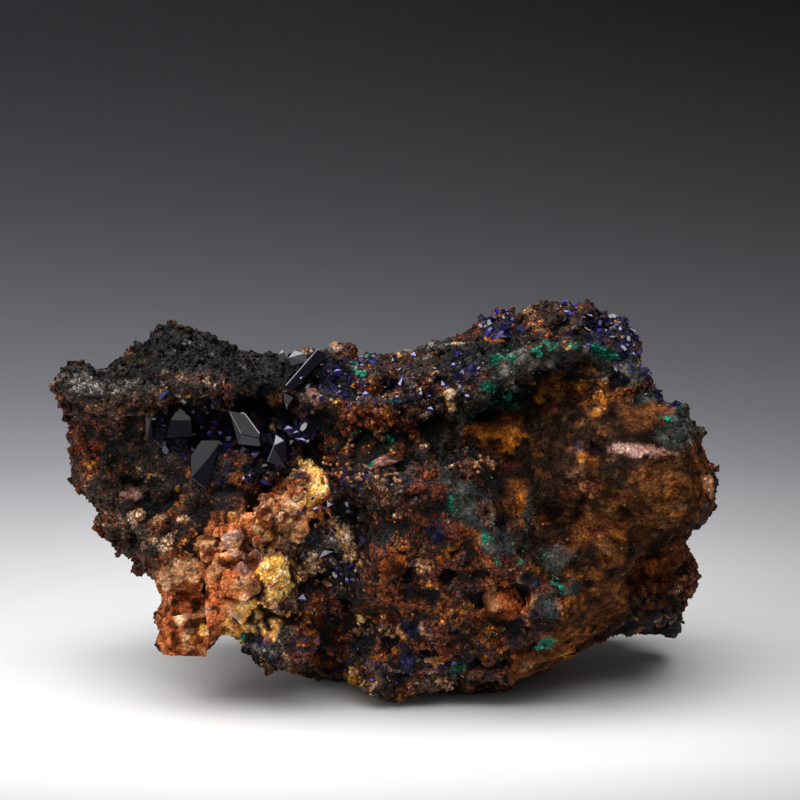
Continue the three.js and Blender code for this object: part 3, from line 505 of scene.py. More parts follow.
# The rock's mesh, in mm: how near two corners are when they are one, the rounds of smoothing, the grains of
# its two remeshes, how high its flat foot reaches, and how far its relief may stand out.
SAME_PLACE = 0.001
SMOOTHING_ROUNDS = 6
COARSE_GRAIN = 1.0
FINE_GRAIN = 0.52
FOOT_HEIGHT = 0.3
MOST_RELIEF = 1.2
cad_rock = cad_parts["matrix"]
rock = new_piece("rock", cad_rock.data.copy())
rock.data.materials.clear()
rock.data.transform(cad_rock.matrix_world)
shape = bmesh.new()
shape.from_mesh(rock.data)
bmesh.ops.remove_doubles(shape, verts=shape.verts, dist=SAME_PLACE * MM)
bmesh.ops.subdivide_edges(shape, edges=shape.edges, cuts=2, use_grid_fill=True)
for _ in range(SMOOTHING_ROUNDS):
    bmesh.ops.smooth_vert(
        shape, verts=shape.verts, factor=0.5, use_axis_x=True, use_axis_y=True, use_axis_z=True)
shape.to_mesh(rock.data)
shape.free()
# Places of the outline that are moved a little: x, z and radius as seen, and how far right and up, in mm.
NUDGES = [(-57, 83, 6, 3.5, 0), (-58, 78.5, 5, 1.2, 0), (-58, 30, 8, 2.6, 0), (-54.5, 24, 7, 3, 0),
    (-73, 64.5, 4, -3, 0), (-65, 37.5, 5, -1.6, 0), (59.5, 77, 5, -1.5, -5), (64, 71, 6, 0, -4.5),
    (73.5, 55, 5, -0.8, -1.6), (24, 84, 7, 0, 3.8), (70, 28, 7, 1.6, 0), (60, 84, 5, 2.5, 1),
    (47, 88, 6, 0, 0.7), (55, 86, 5, 1, 3.5), (-33, 65.5, 5, 0, 2.6), (-21, 79.5, 4, 0, 1.2),
    (-10, 79, 5, 0, 1.4), (18, 80.5, 5, 0, 1), (-50, 10.5, 4, -2.5, 0)]
seen, places = seen_points(rock.data)
shift = np.zeros_like(places)
for x, z, radius, right, up in NUDGES:
    near = ramped(np.hypot(seen[:, 0] - x, seen[:, 1] - z), radius, 0.25 * radius)
    shift += near[:, None] * np.array([right, 0, up])
place_vertices(rock.data, (places + shift) * MM)
remeshed(rock, COARSE_GRAIN)


def relief(mesh):
    """How far the rock's surface is pushed out or in, in mm, by its crumbs, pits and cracks."""
    shares, places = patch_shares(mesh)
    smooth = 0.7 * smoothness(shares)
    height = 1.5 * noise_over(places, 9, 1, 1) + 1.0 * noise_over(places, 4.6, 1, 2)
    height += 0.6 * noise_over(places, 2.4, 1, 3)
    knobs = 1.5 * (0.45 - cells_over(places, 4.2)[:, 0])
    pits = -3.4 * ramped(noise_over(places, 5.5, 1, 4), 0.2, 0.7)
    cracks = -1.2 * ramped(cells_over(places + 50, 9.0) @ np.array([-1, 1]), 0.12, 0.02)
    rough = (1 - smooth) * (1 - 0.85 * shares["brick"]) * (1 - 0.5 * shares["goethite"])
    faceted = facets_over(places, 6.5) * (0.3 * (1 - smooth) + 0.2 * shares["brick"])
    total = rough * (height + knobs + pits) + smooth * 0.6 * height
    total += shares["brick"] * (cracks - 0.4) + faceted
    return total * ramped(places[:, 2], FOOT_HEIGHT, 3), shares, places


amounts, shares, places = relief(rock.data)
push(rock.data, np.minimum(amounts, MOST_RELIEF))
above = ramped(places[:, 2], 1.0, 4.0)
keep_share(rock.data, "lumpy", np.clip(1 - smoothness(shares) - 1.2 * shares["brick"], 0, 1) * above)
knob_shapes = [grain_shape(f"knob_{i}", 20 + i, (1, 0.8 + 0.1 * i, 0.8)) for i in range(4)]
knobs = scattered("knobs", rock, "lumpy", 2.2, knob_shapes, (0.6, 1.8), 0.5, 11)

# Round nodules that stand out of the rock: x and z as seen, and radius, in mm.
NODULES = [(-16.6, 67.4, 2.3), (-35.3, 52.6, 1.8), (-31.6, 53.6, 2.3), (-46, 40, 1.7), (-48.8, 34.8, 1.5),
    (14.6, 68.5, 1.2), (-55, 41.5, 1.3), (-19.6, 45.6, 1.8), (-24, 41, 1.6), (-3.4, 3, 1.5),
    (5.6, 2.6, 1.3), (14.6, 3, 1.4), (24, 83, 1.6), (-12, 79, 1.4), (-17, 79.5, 1.5), (-20, 78.6, 1.2),
    (17, 80.5, 1.4)]
shape = bmesh.new()
shape.from_mesh(cad_rock.data)
skin = BVHTree.FromBMesh(shape)
shape.free()
MIDDLE_HEIGHT = 40
EDGE_STEP = 0.4


def on_face(x, z):
    """The place on the CAD rock that is seen at x, z, or just inside its edge there, and its normal."""
    place, normal, *_ = skin.ray_cast(eye * MM, sight_to(x, z))
    return (place, normal) if place else on_face(x, z + math.copysign(EDGE_STEP, MIDDLE_HEIGHT - z))


shape = bmesh.new()
for x, z, radius in NODULES:
    bmesh.ops.create_icosphere(
        shape, subdivisions=3, radius=radius * MM, matrix=Matrix.Translation(on_face(x, z)[0]))
nodules = new_piece("nodules", shape_mesh("nodules", shape))
rock.data = joined("rock", [rock.data, knobs.data, nodules.data])
bpy.data.objects.remove(knobs)
bpy.data.objects.remove(nodules)
remeshed(rock, FINE_GRAIN)
shares, places = patch_shares(rock.data)
fine = 0.22 * noise_over(places, 1.1, 2, 7) * (1 - 0.15 * smoothness(shares)) * (1 - 0.5 * shares["brick"])
fine += 0.12 * noise_over(places, 2.0, 1, 8) + 0.35 * shares["ochre"] * noise_over(places, 1.5, 2, 18)
push(rock.data, fine * ramped(places[:, 2], FOOT_HEIGHT, 2))

# The back is out of sight in the main view and has fewer faces. BACK_PULL is how much sooner they merge.
ROCK_TRIANGLES = 190000
BACK_PULL = 0.00005
group = rock.vertex_groups.new(name="back")
_, places = seen_points(rock.data)
behind = 0.5 + 0.5 * ramped(places[:, 1], 5, 20)
for level in range(5, 11):
    chosen = np.flatnonzero(np.round(behind * 10) == level)
    group.add(chosen.tolist(), level / 10, "REPLACE")
thin = rock.modifiers.new("thin", "DECIMATE")
thin.vertex_group = "back"
thin.vertex_group_factor = BACK_PULL
thin.ratio = ROCK_TRIANGLES / triangles(rock.data)
settled(rock)
rock.vertex_groups.clear()


def stand_on_table(mesh):
    """Lifts what reaches below the table, and returns the vertices' places in mm."""
    _, places = seen_points(mesh)
    places[:, 2] = np.maximum(places[:, 2], 0)
    place_vertices(mesh, places * MM)
    return places


places = stand_on_table(rock.data)


def pit_depths(mesh, rounds):
    """How deep each vertex lies under its surroundings, in mm, and less than 0 where it stands out."""
    ends = np.empty(len(mesh.edges) * 2, np.int32)
    mesh.edges.foreach_get("vertices", ends)
    one, other = ends.reshape(-1, 2).T
    starts, normals = vertex_rows(mesh, "co"), vertex_rows(mesh, "normal")
    count = np.bincount(one, minlength=len(starts)) + np.bincount(other, minlength=len(starts))
    smooth = starts.astype(np.float64)
    for _ in range(rounds):
        total = np.empty_like(smooth)
        for axis in range(3):
            total[:, axis] = np.bincount(one, smooth[other, axis], len(starts))
            total[:, axis] += np.bincount(other, smooth[one, axis], len(starts))
        smooth = total / count[:, None]
    return ((smooth - starts) * normals).sum(1) / MM


PIT_ROUNDS = 40
# How deep the rock lies in its pits is kept for painted shade: the material and the tones are darker there,
# less so where the rock is smooth.
shares, places = patch_shares(rock.data)
pits = ramped(pit_depths(rock.data, PIT_ROUNDS), -0.4, 1.2) * (1 - 0.95 * smoothness(shares))
keep_share(rock.data, "pit", pits)
tones = 0.25 + 0.35 * grains_over(places, 1.0) + 0.25 * noise_over(places, 2.2, 2, 9)
tones += 0.12 * noise_over(places, 9, 1, 10) - 0.3 * (pits - 0.3)
stain_and_shade(rock.data, shares, places, tones)
rock.data.shade_smooth()
print("rock faces", triangles(rock.data))


class Look:
    """A material whose nodes are added one by one."""

    def __init__(self, name):
        self.material = bpy.data.materials.new(name)
        self.material.use_nodes = True
        self.tree = self.material.node_tree
        self.shader = self.tree.nodes["Principled BSDF"]
        self.place = self.tree.nodes.new("ShaderNodeTexCoord").outputs["Object"]

    def join(self, socket, value):
        """Links a node's output to a socket, or sets the socket to a number or a colour."""
        if isinstance(value, bpy.types.NodeSocket):
            self.tree.links.new(value, socket)
        elif isinstance(value, tuple) and len(value) == 3 and socket.type == "RGBA":
            socket.default_value = (*value, 1)
        else:
            socket.default_value = value

    def node(self, kind, inputs, **values):
        made = self.tree.nodes.new(kind)
        for key, value in values.items():
            setattr(made, key, value)
        for key, value in inputs.items():
            self.join(made.inputs[key], value)
        return made

    def noise(self, wave, detail=3.0, rough=0.55):
        """Noise from 0 to 1 with waves of this many mm."""
        inputs = {"Vector": self.place, "Scale": 1 / (wave * MM), "Detail": detail, "Roughness": rough}
        return self.node("ShaderNodeTexNoise", inputs).outputs["Fac"]

    def share(self, name):
        """A value that keep_share keeps on the mesh."""
        return self.node("ShaderNodeAttribute", {}, attribute_name=name).outputs["Fac"]

    def math(self, operation, *values):
        return self.node("ShaderNodeMath", dict(enumerate(values)), operation=operation).outputs[0]

    def ranged(self, value, low, high, to_low=0.0, to_high=1.0):
        inputs = {"Value": value, "From Min": low, "From Max": high, "To Min": to_low, "To Max": to_high}
        return self.node("ShaderNodeMapRange", inputs).outputs[0]

    def ramp(self, value, stops):
        """Colours or greys along a value, as (place, colour) stops."""
        made = self.node("ShaderNodeValToRGB", {"Fac": value})
        elements = made.color_ramp.elements
        while len(elements) < len(stops):
            elements.new(0.5)
        for element, (place, colour) in zip(elements, stops):
            element.position = place
            element.color = (*colour, 1) if isinstance(colour, tuple) else (colour, colour, colour, 1)
        return made.outputs["Color"]

    def mix(self, share, a, b, blend="MIX"):
        """Two colours blended. Inputs 6 and 7 and output 2 are the node's colour sockets."""
        made = self.node("ShaderNodeMix", {}, data_type="RGBA", blend_type=blend)
        for socket, value in zip((made.inputs[0], made.inputs[6], made.inputs[7]), (share, a, b)):
            self.join(socket, value)
        return made.outputs[2]

    def bump(self, height, distance, under=None):
        inputs = {"Height": height, "Distance": distance * MM, "Strength": 1.0}
        if under:
            inputs["Normal"] = under
        return self.node("ShaderNodeBump", inputs).outputs["Normal"]

    def finish(self, **inputs):
        for key, value in inputs.items():
            self.join(self.shader.inputs[key.replace("_", " ")], value)
        return self.material


# Limonite: the stain, broken up by bent grains and by a mottle, with painted shade between the grains and in
# pits.
GRAIN_WIDE = 0.65
GRAIN_BEND = 0.5
stone = Look("limonite")
colour = stone.node("ShaderNodeAttribute", {}, attribute_name="stain_and_shade").outputs["Color"]
bends = {"Vector": stone.place, "Scale": 1 / (GRAIN_BEND * MM), "Detail": 2.0}
warp = stone.node("ShaderNodeTexNoise", bends).outputs["Color"]
bends = {0: warp, 1: (GRAIN_BEND * MM,) * 3}
warp = stone.node("ShaderNodeVectorMath", bends, operation="MULTIPLY").outputs[0]
warped = stone.node("ShaderNodeVectorMath", {0: stone.place, 1: warp}).outputs[0]
grain = stone.node("ShaderNodeTexVoronoi", {"Vector": warped, "Scale": 1 / (GRAIN_WIDE * MM)})
drawn = stone.node("ShaderNodeSeparateColor", {"Color": grain.outputs["Color"]}).outputs["Red"]
grainy = stone.ramp(drawn, [(0.0, 0.35), (0.5, 1.1), (0.85, 2.0), (1.0, 3.2)])
mottled = stone.ramp(stone.noise(0.7, 6.0, 0.75), [(0.3, 0.2), (0.5, 0.8), (0.62, 1.6), (0.75, 3.0)])
rough = stone.share("gappy")
colour = stone.mix(1.0, colour, stone.mix(rough, mottled, grainy), "MULTIPLY")
# Painted shade between the grains, darkest at their edges, where the rock is rough.
gap_shade = stone.ramp(grain.outputs["Distance"], [(0.25, 1.0), (0.5, 0.6), (0.75, 0.12)])
colour = stone.mix(rough, colour, stone.mix(1.0, colour, gap_shade, "MULTIPLY"))
# Painted shade in pits: the deeper the pit, the darker.
shade = stone.ramp(stone.share("pit"), [(0.1, 1.0), (0.35, 0.5), (0.8, 0.03)])
colour = stone.mix(1.0, colour, shade, "MULTIPLY")
fine = stone.bump(stone.noise(0.35, 3.0, 0.7), 0.18)
normal = stone.bump(stone.math("SUBTRACT", 1.0, grain.outputs["Distance"]), 0.35, fine)
gloss = stone.ramp(stone.noise(0.9, 2.0), [(0.4, 0.4), (0.6, 0.8)])
shine = stone.ranged(rough, 0.3, 1.0, 0.04, 0.22)
stone.finish(Base_Color=colour, Roughness=gloss, Normal=normal, Specular_IOR_Level=shine)
rock.data.materials.append(stone.material)
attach(rock, "root")
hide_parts("matrix")

# Angular blocks and small round beads of the same limonite, which grew or broke out of it and are still part
# of it: blocks at the brick-red lower left and a few right of it, beads in tan and orange groups.
EDGE_BEVEL = 0.12
FLAT_ANGLE = math.radians(7)


def face_depth(x, z):
    """The depth, in mm, of the rock's face where it is seen at x, z."""
    return on_face(x, z)[0].y / MM


def seen_place(x, z, y):
    """The point at depth y, in mm, that is seen at x, z."""
    ray = sight_to(x, z)
    return (eye + ray * ((y - eye.y) / ray.y)) * MM


def angular(name, blocks):
    """Closed angular blocks round their corners, with slightly cut edges."""
    together = bmesh.new()
    for anchor, stand, corners in blocks:
        front = face_depth(*anchor) - stand
        one = bmesh.new()
        for x, z, back in corners:
            one.verts.new(seen_place(x, z, front + back))
        bmesh.ops.convex_hull(one, input=one.verts)
        bmesh.ops.dissolve_limit(one, angle_limit=FLAT_ANGLE, verts=one.verts, edges=one.edges)
        bmesh.ops.bevel(
            one, geom=one.edges, offset=EDGE_BEVEL * MM, affect="EDGES", segments=1, profile=0.5, material=-1)
        together.from_mesh(shape_mesh(name, one))
    return shape_mesh(name, together)


# A block's middle, how far it stands out of the rock there, and its corners as seen, with their depth
# behind its front, in mm.
BLOCKS = [
    ((-45.2, 14), 2.2, [(-50.8, 13, 1.8), (-49.4, 10.2, 2.6), (-44.4, 10.2, 2.2), (-40.7, 9.7, 1.6),
        (-40, 14.2, 0.6), (-40.7, 18.7, 1), (-45.5, 18.1, 0.6), (-49.4, 17.5, 1.4)]),
    ((-44, 21), 1.8, [(-47.5, 24, 1.8), (-43.6, 24.5, 1.6), (-40.7, 23.1, 1), (-40.2, 18.7, 0),
        (-44.4, 18.1, 0.2), (-47.8, 18.7, 0.9)]),
    ((-43.8, 27.4), 1.8, [(-47, 30.1, 1.6), (-41, 30.4, 1.2), (-39.6, 28.2, 0.6), (-41.6, 24.3, 0),
        (-47.2, 24.8, 0.4), (-48.1, 28.2, 1.2)]),
    ((-49.5, 27), 1.2, [(-51.7, 26.5, 1), (-49.4, 30.4, 1.4), (-47.5, 28.2, 0.6), (-47.8, 24.8, 0.2),
        (-50.6, 23.7, 0.8)]),
    ((-37.8, 20), 1.4, [(-40, 24.3, 1.2), (-36.5, 23.1, 1.4), (-35.4, 20.9, 1), (-36, 17.5, 0.4),
        (-39.6, 15.8, 0), (-40.2, 19.8, 0.3)]),
    ((-32.2, 26.4), 1.8, [(-36, 28.2, 0.8), (-32, 30.4, 1.4), (-28.4, 27.6, 1), (-28.1, 24.3, 0.6),
        (-31.5, 22.3, 0.2), (-35.4, 23.1, 0.1), (-36.5, 25.4, 0.3)]),
    ((-34, 31.4), 1.4, [(-38.2, 31.6, 0.5), (-34.3, 33.5, 1.3), (-30.3, 32.1, 1), (-29.2, 29.9, 0.6),
        (-32.6, 29.9, -0.2), (-36, 28.2, -0.3), (-38.8, 29.3, 0)]),
    ((-39.2, 33.2), 1.2, [(-41.3, 34.9, 0.8), (-38, 35.3, 1.2), (-36.5, 33.3, 0.7), (-38.8, 31, 0),
        (-41.3, 31.6, 0.2)]),
    ((-34.3, 36.6), 1.4, [(-36.8, 38.3, 0.9), (-33.7, 39.4, 1.3), (-31.5, 36.6, 0.7), (-33.1, 33.5, 0),
        (-36.5, 33.8, 0.1)]),
    ((-26.5, 36), 1.6, [(-29.5, 36.1, 0.5), (-24.2, 38.7, 1.2), (-23.4, 37.2, 0.6), (-28.1, 33.3, -0.3),
        (-29.5, 34.4, 0)]),
    ((-26.5, 40.8), 1.4, [(-29.5, 38.9, 0.4), (-28.7, 41.7, 1), (-25.3, 45.1, 1.4), (-24.2, 43.9, 0.9),
        (-23.6, 40.6, 0.3), (-25.8, 38.3, -0.2), (-28.7, 36.6, -0.1)]),
    ((-21, 42.4), 1.8, [(-24.2, 43.9, 0.6), (-21.3, 46.7, 1.4), (-18, 45.6, 1), (-18, 43.4, 0.5),
        (-20.8, 40, -0.2), (-23.6, 37.8, 0)]),
    ((-19, 38), 1.2, [(-20.8, 39.4, 0.6), (-18, 40.6, 1), (-16.9, 37.8, 0.4), (-19.1, 34.9, 0),
        (-21.3, 35.5, 0.1)]),
    ((25.8, 21.8), 3, [(22, 22.8, 1.4), (25.2, 27.2, 1.8), (29.2, 24.4, 1.2), (32.2, 18.8, 2),
        (27.6, 17.8, 0.8), (23.2, 18.8, 0.8)]),
    ((2, 30), 1.2, [(-1, 30, 0.8), (1.5, 33, 1.2), (5, 31.5, 1), (4.5, 28, 0.4), (0.5, 27, 0)]),
    ((14, 36), 1.2, [(11.5, 36, 0.8), (13.5, 39, 1.2), (17, 37, 1), (16.5, 33.6, 0.4), (12.5, 33, 0)]),
    ((10.8, 40.5), 1.2, [(8.5, 39.5, 0.6), (11.5, 43, 1.2), (13, 41, 0.8), (11, 37.5, 0), (9, 37.6, 0.1)]),
    ((0, 52.8), 1.6, [(-3.8, 52.4, 0.6), (-0.5, 54.6, 1.8), (3.8, 54.8, 1.8), (3.6, 53.4, 0.6),
        (-1, 51.3, -0.2), (-3.4, 51.2, 0)]),
]
# Groups of beads: their finish, x, z, half width and half height as seen, radius in mm, and number.
BEADS = [("tan", -11, 50.2, 3.2, 3, 0.42, 34), ("tan", -10.5, 46.4, 2.6, 0.8, 0.42, 10),
    ("tan", -7.7, 56.9, 1, 1.4, 0.6, 6), ("tan", -0.9, 58.6, 1.3, 0.9, 0.6, 6),
    ("orange", 5.8, 60, 0.5, 1.3, 0.55, 4), ("tan", -5.8, 50, 0.8, 0.9, 0.5, 4),
    ("tan", 1.3, 49.4, 2.2, 0.7, 0.4, 10), ("tan", -1.2, 1.8, 1.3, 1, 0.6, 7),
    ("tan", 5.7, 2.3, 1.3, 1, 0.5, 7), ("murk", 14.5, 2.2, 1.4, 1.2, 0.55, 8),
    ("tan", 11.9, 4.2, 1, 0.8, 0.6, 4), ("tan", 10.5, 8.7, 2.6, 0.8, 0.5, 10),
    ("tan", 2, 14.8, 2.4, 1, 0.5, 10), ("tan", -4.4, 15.2, 2.4, 1.2, 0.5, 10),
    ("tan", -7, 5, 1.5, 1.4, 0.5, 7), ("tan", 22.4, 52.8, 2.3, 2.2, 0.5, 9),
    ("orange", 0.7, 64, 1.5, 0.8, 0.45, 6), ("orange", 22.6, 14.4, 2.4, 1, 0.5, 8),
    ("tan", -16.5, 28, 2.4, 2.4, 0.4, 12), ("tan", -8.4, 35, 1.6, 4, 0.5, 12)]
noise.seed_set(9)
beads = []
for finish, x, z, half_wide, half_tall, radius, count in BEADS:
    shape = bmesh.new()
    for _ in range(count):
        right, up = 2 * noise.random() - 1, 2 * noise.random() - 1
        middle, out = on_face(x + half_wide * right, max(z + half_tall * up, 1.6))
        size = radius * (0.6 + 0.8 * noise.random()) * MM
        place = Matrix.Translation(middle + 0.4 * size * out)
        bmesh.ops.create_icosphere(shape, subdivisions=2, radius=size, matrix=place)
    mesh = shape_mesh("beads", shape)
    _, bead_places = seen_points(mesh)
    one = {name: np.full(len(bead_places), float(name == finish)) for name in PATCHES}
    stain_and_shade(mesh, one, bead_places, 0.36 + 0.3 * noise_over(bead_places, 1.6, 2, 16))
    beads.append(mesh)


# How much a block is spread, how deep the points at its front and in the rock lie, and its remesh's grain.
BLOCK_SPREAD = 1.15
BLOCK_FRONT = -0.5
BLOCK_DEPTH = 7
BLOCK_GRAIN = 0.3


def whole_block(middle, stand, around):
    """A block, spread a little so that it meets the next one, with a point at its front and in the rock."""
    corners = [(middle[0] + BLOCK_SPREAD * (x - middle[0]), middle[1] + BLOCK_SPREAD * (z - middle[1]), back)
               for x, z, back in around]
    return middle, stand, [*corners, (*middle, BLOCK_FRONT), (*middle, BLOCK_DEPTH)]


blocks = angular("blocks", [whole_block(*block) for block in BLOCKS])
lumps = remeshed(new_piece("blocks_and_beads", blocks), BLOCK_GRAIN)
lump_shares, lump_places = patch_shares(lumps.data)
rugged = 0.1 * noise_over(lump_places, 2.6, 3, 14)
push(lumps.data, rugged)
# Their tones follow the relief, lighter where it stands out and darker where it sinks: a painted highlight
# and shade, with noise.
tones = 0.44 + 1.8 * rugged + 0.3 * noise_over(lump_places, 2.6, 3, 15)
stain_and_shade(lumps.data, lump_shares, lump_places, tones)
lumps.data = joined("blocks_and_beads", [lumps.data, *beads])
stand_on_table(lumps.data)
for name in ("pit", "gappy"):
    keep_share(lumps.data, name, np.zeros(len(lumps.data.vertices)))
lumps.data.shade_smooth()
lumps.data.materials.append(stone.material)
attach(lumps, "root")
print("blocks and beads", triangles(lumps.data))

# Crumbs of the same limonite all over it, a millimetre or so across, where the rock has crumbled, and
# larger broken fragments where it is brick red. Between the crumbs, painted shade darkens the rock at the
# edges of its grains.
above = ramped(places[:, 2], 0.8, 3.0)
facing = ramped(places[:, 1], 16, -4)
rough = (1 - 0.8 * smoothness(shares)) * (1 - 0.5 * shares["brick"]) * (1 - 0.8 * shares["black"])
open_air = ramped(pits, 0.75, 0.4)
keep_share(rock.data, "crumbly", above * facing * rough * open_air)
# Where the rock is rough: grainy, a little shinier, and with painted shade between its grains.
gappy = (1 - smoothness(shares)) * (1 - 0.85 * shares["brick"]) * (1 - 0.5 * shares["ochre"])
keep_share(rock.data, "gappy", gappy)
keep_share(rock.data, "gravelly", above * (0.3 + 0.7 * facing) * rough ** 2 * open_air)
keep_share(rock.data, "blocky", np.clip(1.5 * shares["brick"] - 0.4, 0, 1) * above)
# Where each kind lies, how far apart and of what radius, in mm, the sides of its shapes, how deep it sinks.
CRUMBS = {
    "crumbs": {"where": "crumbly", "spacing": 0.8, "size": (0.2, 0.55), "sides": (3, 4), "sink": 0},
    "gravel": {"where": "gravelly", "spacing": 2.0, "size": (0.45, 1.1), "sides": (4, 5), "sink": 0},
    "fragments": {"where": "blocky", "spacing": 3.0, "size": (0.5, 1.4), "sides": (4, 5), "sink": 0.5},
}
CRUMB_LEAN = 1.2
CRUMB_SEED = 31
for k, (name, kind) in enumerate(CRUMBS.items()):
    shapes = [angular_shape(f"{name}_{i}", 40 + i, (1, 0.8 + 0.15 * i, 0.8), kind["sides"][i % 2])
              for i in range(4)]
    crumbs = scattered(name, rock, kind["where"], kind["spacing"], shapes, kind["size"], CRUMB_LEAN,
                       CRUMB_SEED + 10 * k, kind["sink"])
    stand_on_table(crumbs.data)
    crumb_shares, crumb_places = patch_shares(crumbs.data)
    tint = kept_share(crumbs.data, "tint")
    keep_share(crumbs.data, "pit", np.zeros(len(tint)))
    keep_share(crumbs.data, "gappy", np.full(len(tint), 0.2))
    stain_and_shade(crumbs.data, crumb_shares, crumb_places, 0.22 + 0.6 * tint)
    crumbs.data.materials.clear()
    crumbs.data.materials.append(stone.material)
    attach(crumbs, "root")
    print(name, triangles(crumbs.data))

# Azurite, a blue copper carbonate that is nearly black where it is thick. It grew on the rock: large crystals
# with slanted, mirror-bright ends in the left hollow, blades at the ledge's right end, and druses of small
# crystals along the saddle and the crest, in the middle hollow and low on the front.

# A large crystal's middle, how far it stands out of the rock there, and its corners as seen, with their
# depth behind its front, in mm.
HOLLOW_CRYSTALS = [
    ((-46, 61), 6.5, [(-48.2, 62.6, 0), (-43.5, 62.6, 0), (-46.7, 65, 0.9), (-44.5, 65, 0.9),
        (-49.2, 58.7, -0.6), (-43.2, 58.7, -0.6), (-49, 60, 8), (-42.8, 60, 8), (-46, 65, 7)]),
    ((-53, 60), 2.5, [(-54.1, 65.2, 0.6), (-52.4, 65, 0.4), (-52, 57.8, -0.6), (-53.6, 57.4, -0.9),
        (-53.2, 64, 7), (-52.4, 58, 7), (-54, 58, 7)]),
    ((-41, 53), 3, [(-43.7, 54.4, 0), (-39.5, 54.3, 0), (-41.3, 58, 1.4), (-36.9, 58, 1.4),
        (-43.6, 49.6, -1.1), (-39.9, 46.6, -1.2), (-38.6, 50, 2), (-43, 56, 8), (-37, 56, 8),
        (-41, 49, 8)]),
    ((-30, 61.5), 5.5, [(-35.1, 64.7, -0.4), (-31.5, 64, -0.7), (-28.1, 59.4, -2.4), (-28.2, 58.3, -2.8),
        (-32.3, 59.4, -2.4), (-33.6, 61.7, -1.5), (-32.7, 66.7, 0.8), (-26, 63, 2), (-25.5, 58, 2),
        (-28, 56.5, -2.6), (-33, 57, -2), (-27, 65.5, 6), (-30, 61, 11)]),
    ((-23, 57), 3, [(-25, 56.7, -1.5), (-24.6, 59.4, -0.2), (-22.5, 57.9, -0.9), (-22, 61, 4),
        (-19.5, 57, 3), (-22, 51.5, -1.6), (-26.5, 53, -1.6), (-27, 60, 4), (-23, 57, 9)]),
    ((-21.5, 67.5), 1.5, [(-22.8, 68.8, 0.2), (-20.4, 67.6, -0.2), (-21.7, 66, -0.8), (-22.8, 67.1, -0.4),
        (-20, 70, 4), (-18.5, 66, 3), (-22, 64.5, 0), (-21, 67, 7)]),
]
# Three blades that stand at the ledge's right end, against the light.
BLADES = [
    ((-20, 74), 1.5, [(-24.2, 77, 0.4), (-23.2, 78.6, 1), (-22.3, 77.8, 0.4), (-22.6, 75.4, 0),
        (-23.9, 75.6, 0), (-23.4, 77.4, 4), (-22.4, 76.6, 4)]),
    ((-18, 74), 2, [(-15.2, 78.4, 0.4), (-12.9, 77.2, 0.4), (-20.8, 68.8, -1), (-22.4, 70.2, -1),
        (-20, 76, 5), (-17, 71, 5), (-14, 77, 6)]),
    ((-20, 74), 1.5, [(-21.9, 76.4, 0.4), (-20.4, 78.3, 1.2), (-17.9, 77.6, 0.8), (-17.4, 75.6, 0),
        (-21, 74.6, 0), (-20.4, 77, 5), (-18, 76.4, 5)]),
]
# Small flat faces that mirror the light: x, z, width, height, turn in degrees, and tint from black to lilac.
# A high tint's light lilac is a painted glint besides their real mirroring.
PLATES = {
    "azurite_left_hollow": [(-21.6, 60.4, 2.2, 1, 10, 1), (-18.5, 57.9, 2.8, 0.7, -8, 1),
        (-36.6, 63.1, 1.3, 2, -20, 0.6), (-34.6, 60.8, 0.7, 2, 10, 0.6), (-31.7, 49.2, 0.7, 1, 0, 1),
        (-30.3, 49.8, 0.7, 0.8, 0, 1), (-41.6, 52.1, 0.7, 0.8, 0, 1), (-31.8, 67, 3, 0.25, 30, 0.6),
        (-26.5, 57.8, 0.3, 3, -12, 0.6), (-39.4, 59.4, 1.6, 1.2, 30, 0.92), (-38, 61.6, 1.2, 1.4, 0, 0.85),
        (-37, 59.4, 1.3, 1.2, 60, 0.95), (-50, 62.6, 0.8, 0.6, 20, 0.85),
        (-19.6, 59.6, 2.4, 0.6, 15, 0.88)],
    "azurite_top_blades": [(-20.5, 77.6, 1.6, 0.5, 30, 1), (-13.7, 75.6, 0.3, 3, -38, 0.6),
        (-10.6, 73.3, 2.2, 0.6, 15, 0.88), (-17.2, 74, 2.6, 0.5, 45, 0.85), (-18.6, 72, 0.6, 2, -30, 0.85)],
    "azurite_saddle_plates": [(6.5, 76.9, 1.7, 1, -20, 1), (3.6, 70.8, 0.8, 3, -15, 0.97),
        (-4.3, 68.2, 1.6, 1.1, 10, 0.93), (2.8, 67.5, 1, 0.6, 0, 1), (8.1, 68.3, 0.8, 1.1, 0, 0.95),
        (16.7, 77, 1.4, 0.8, 30, 0.6), (15.4, 74.8, 1, 0.7, 0, 0.95), (10.3, 64.9, 1.7, 0.6, -10, 0.97),
        (13, 70.3, 1.1, 1.6, 20, 0.9)],
    "azurite_middle_hollow": [(-13.2, 32.2, 3.8, 1.4, 28, 0.6), (-18.4, 22.4, 2.2, 1.8, 0, 0.95),
        (-8.5, 26.4, 1.1, 1.2, 20, 0.9), (-15.6, 42.4, 2, 1, 25, 0.95), (-12.4, 43.4, 2, 1.8, 40, 0.5),
        (-7.9, 41.8, 2.2, 1.8, 0, 0.4), (-18.4, 31.8, 1.6, 1.6, 0, 0.5)],
    "azurite_base_crystals": [(-12.8, 8.4, 4, 0.8, 5, 0.6), (-12.5, 5.4, 2.6, 1.6, 0, 0.1)],
}
MIRROR_WAY = Vector((-0.12, -0.77, 0.62))
PLATE_STAND = 1.2
BRIGHTEST_PAINTED_GLINT = 0.93


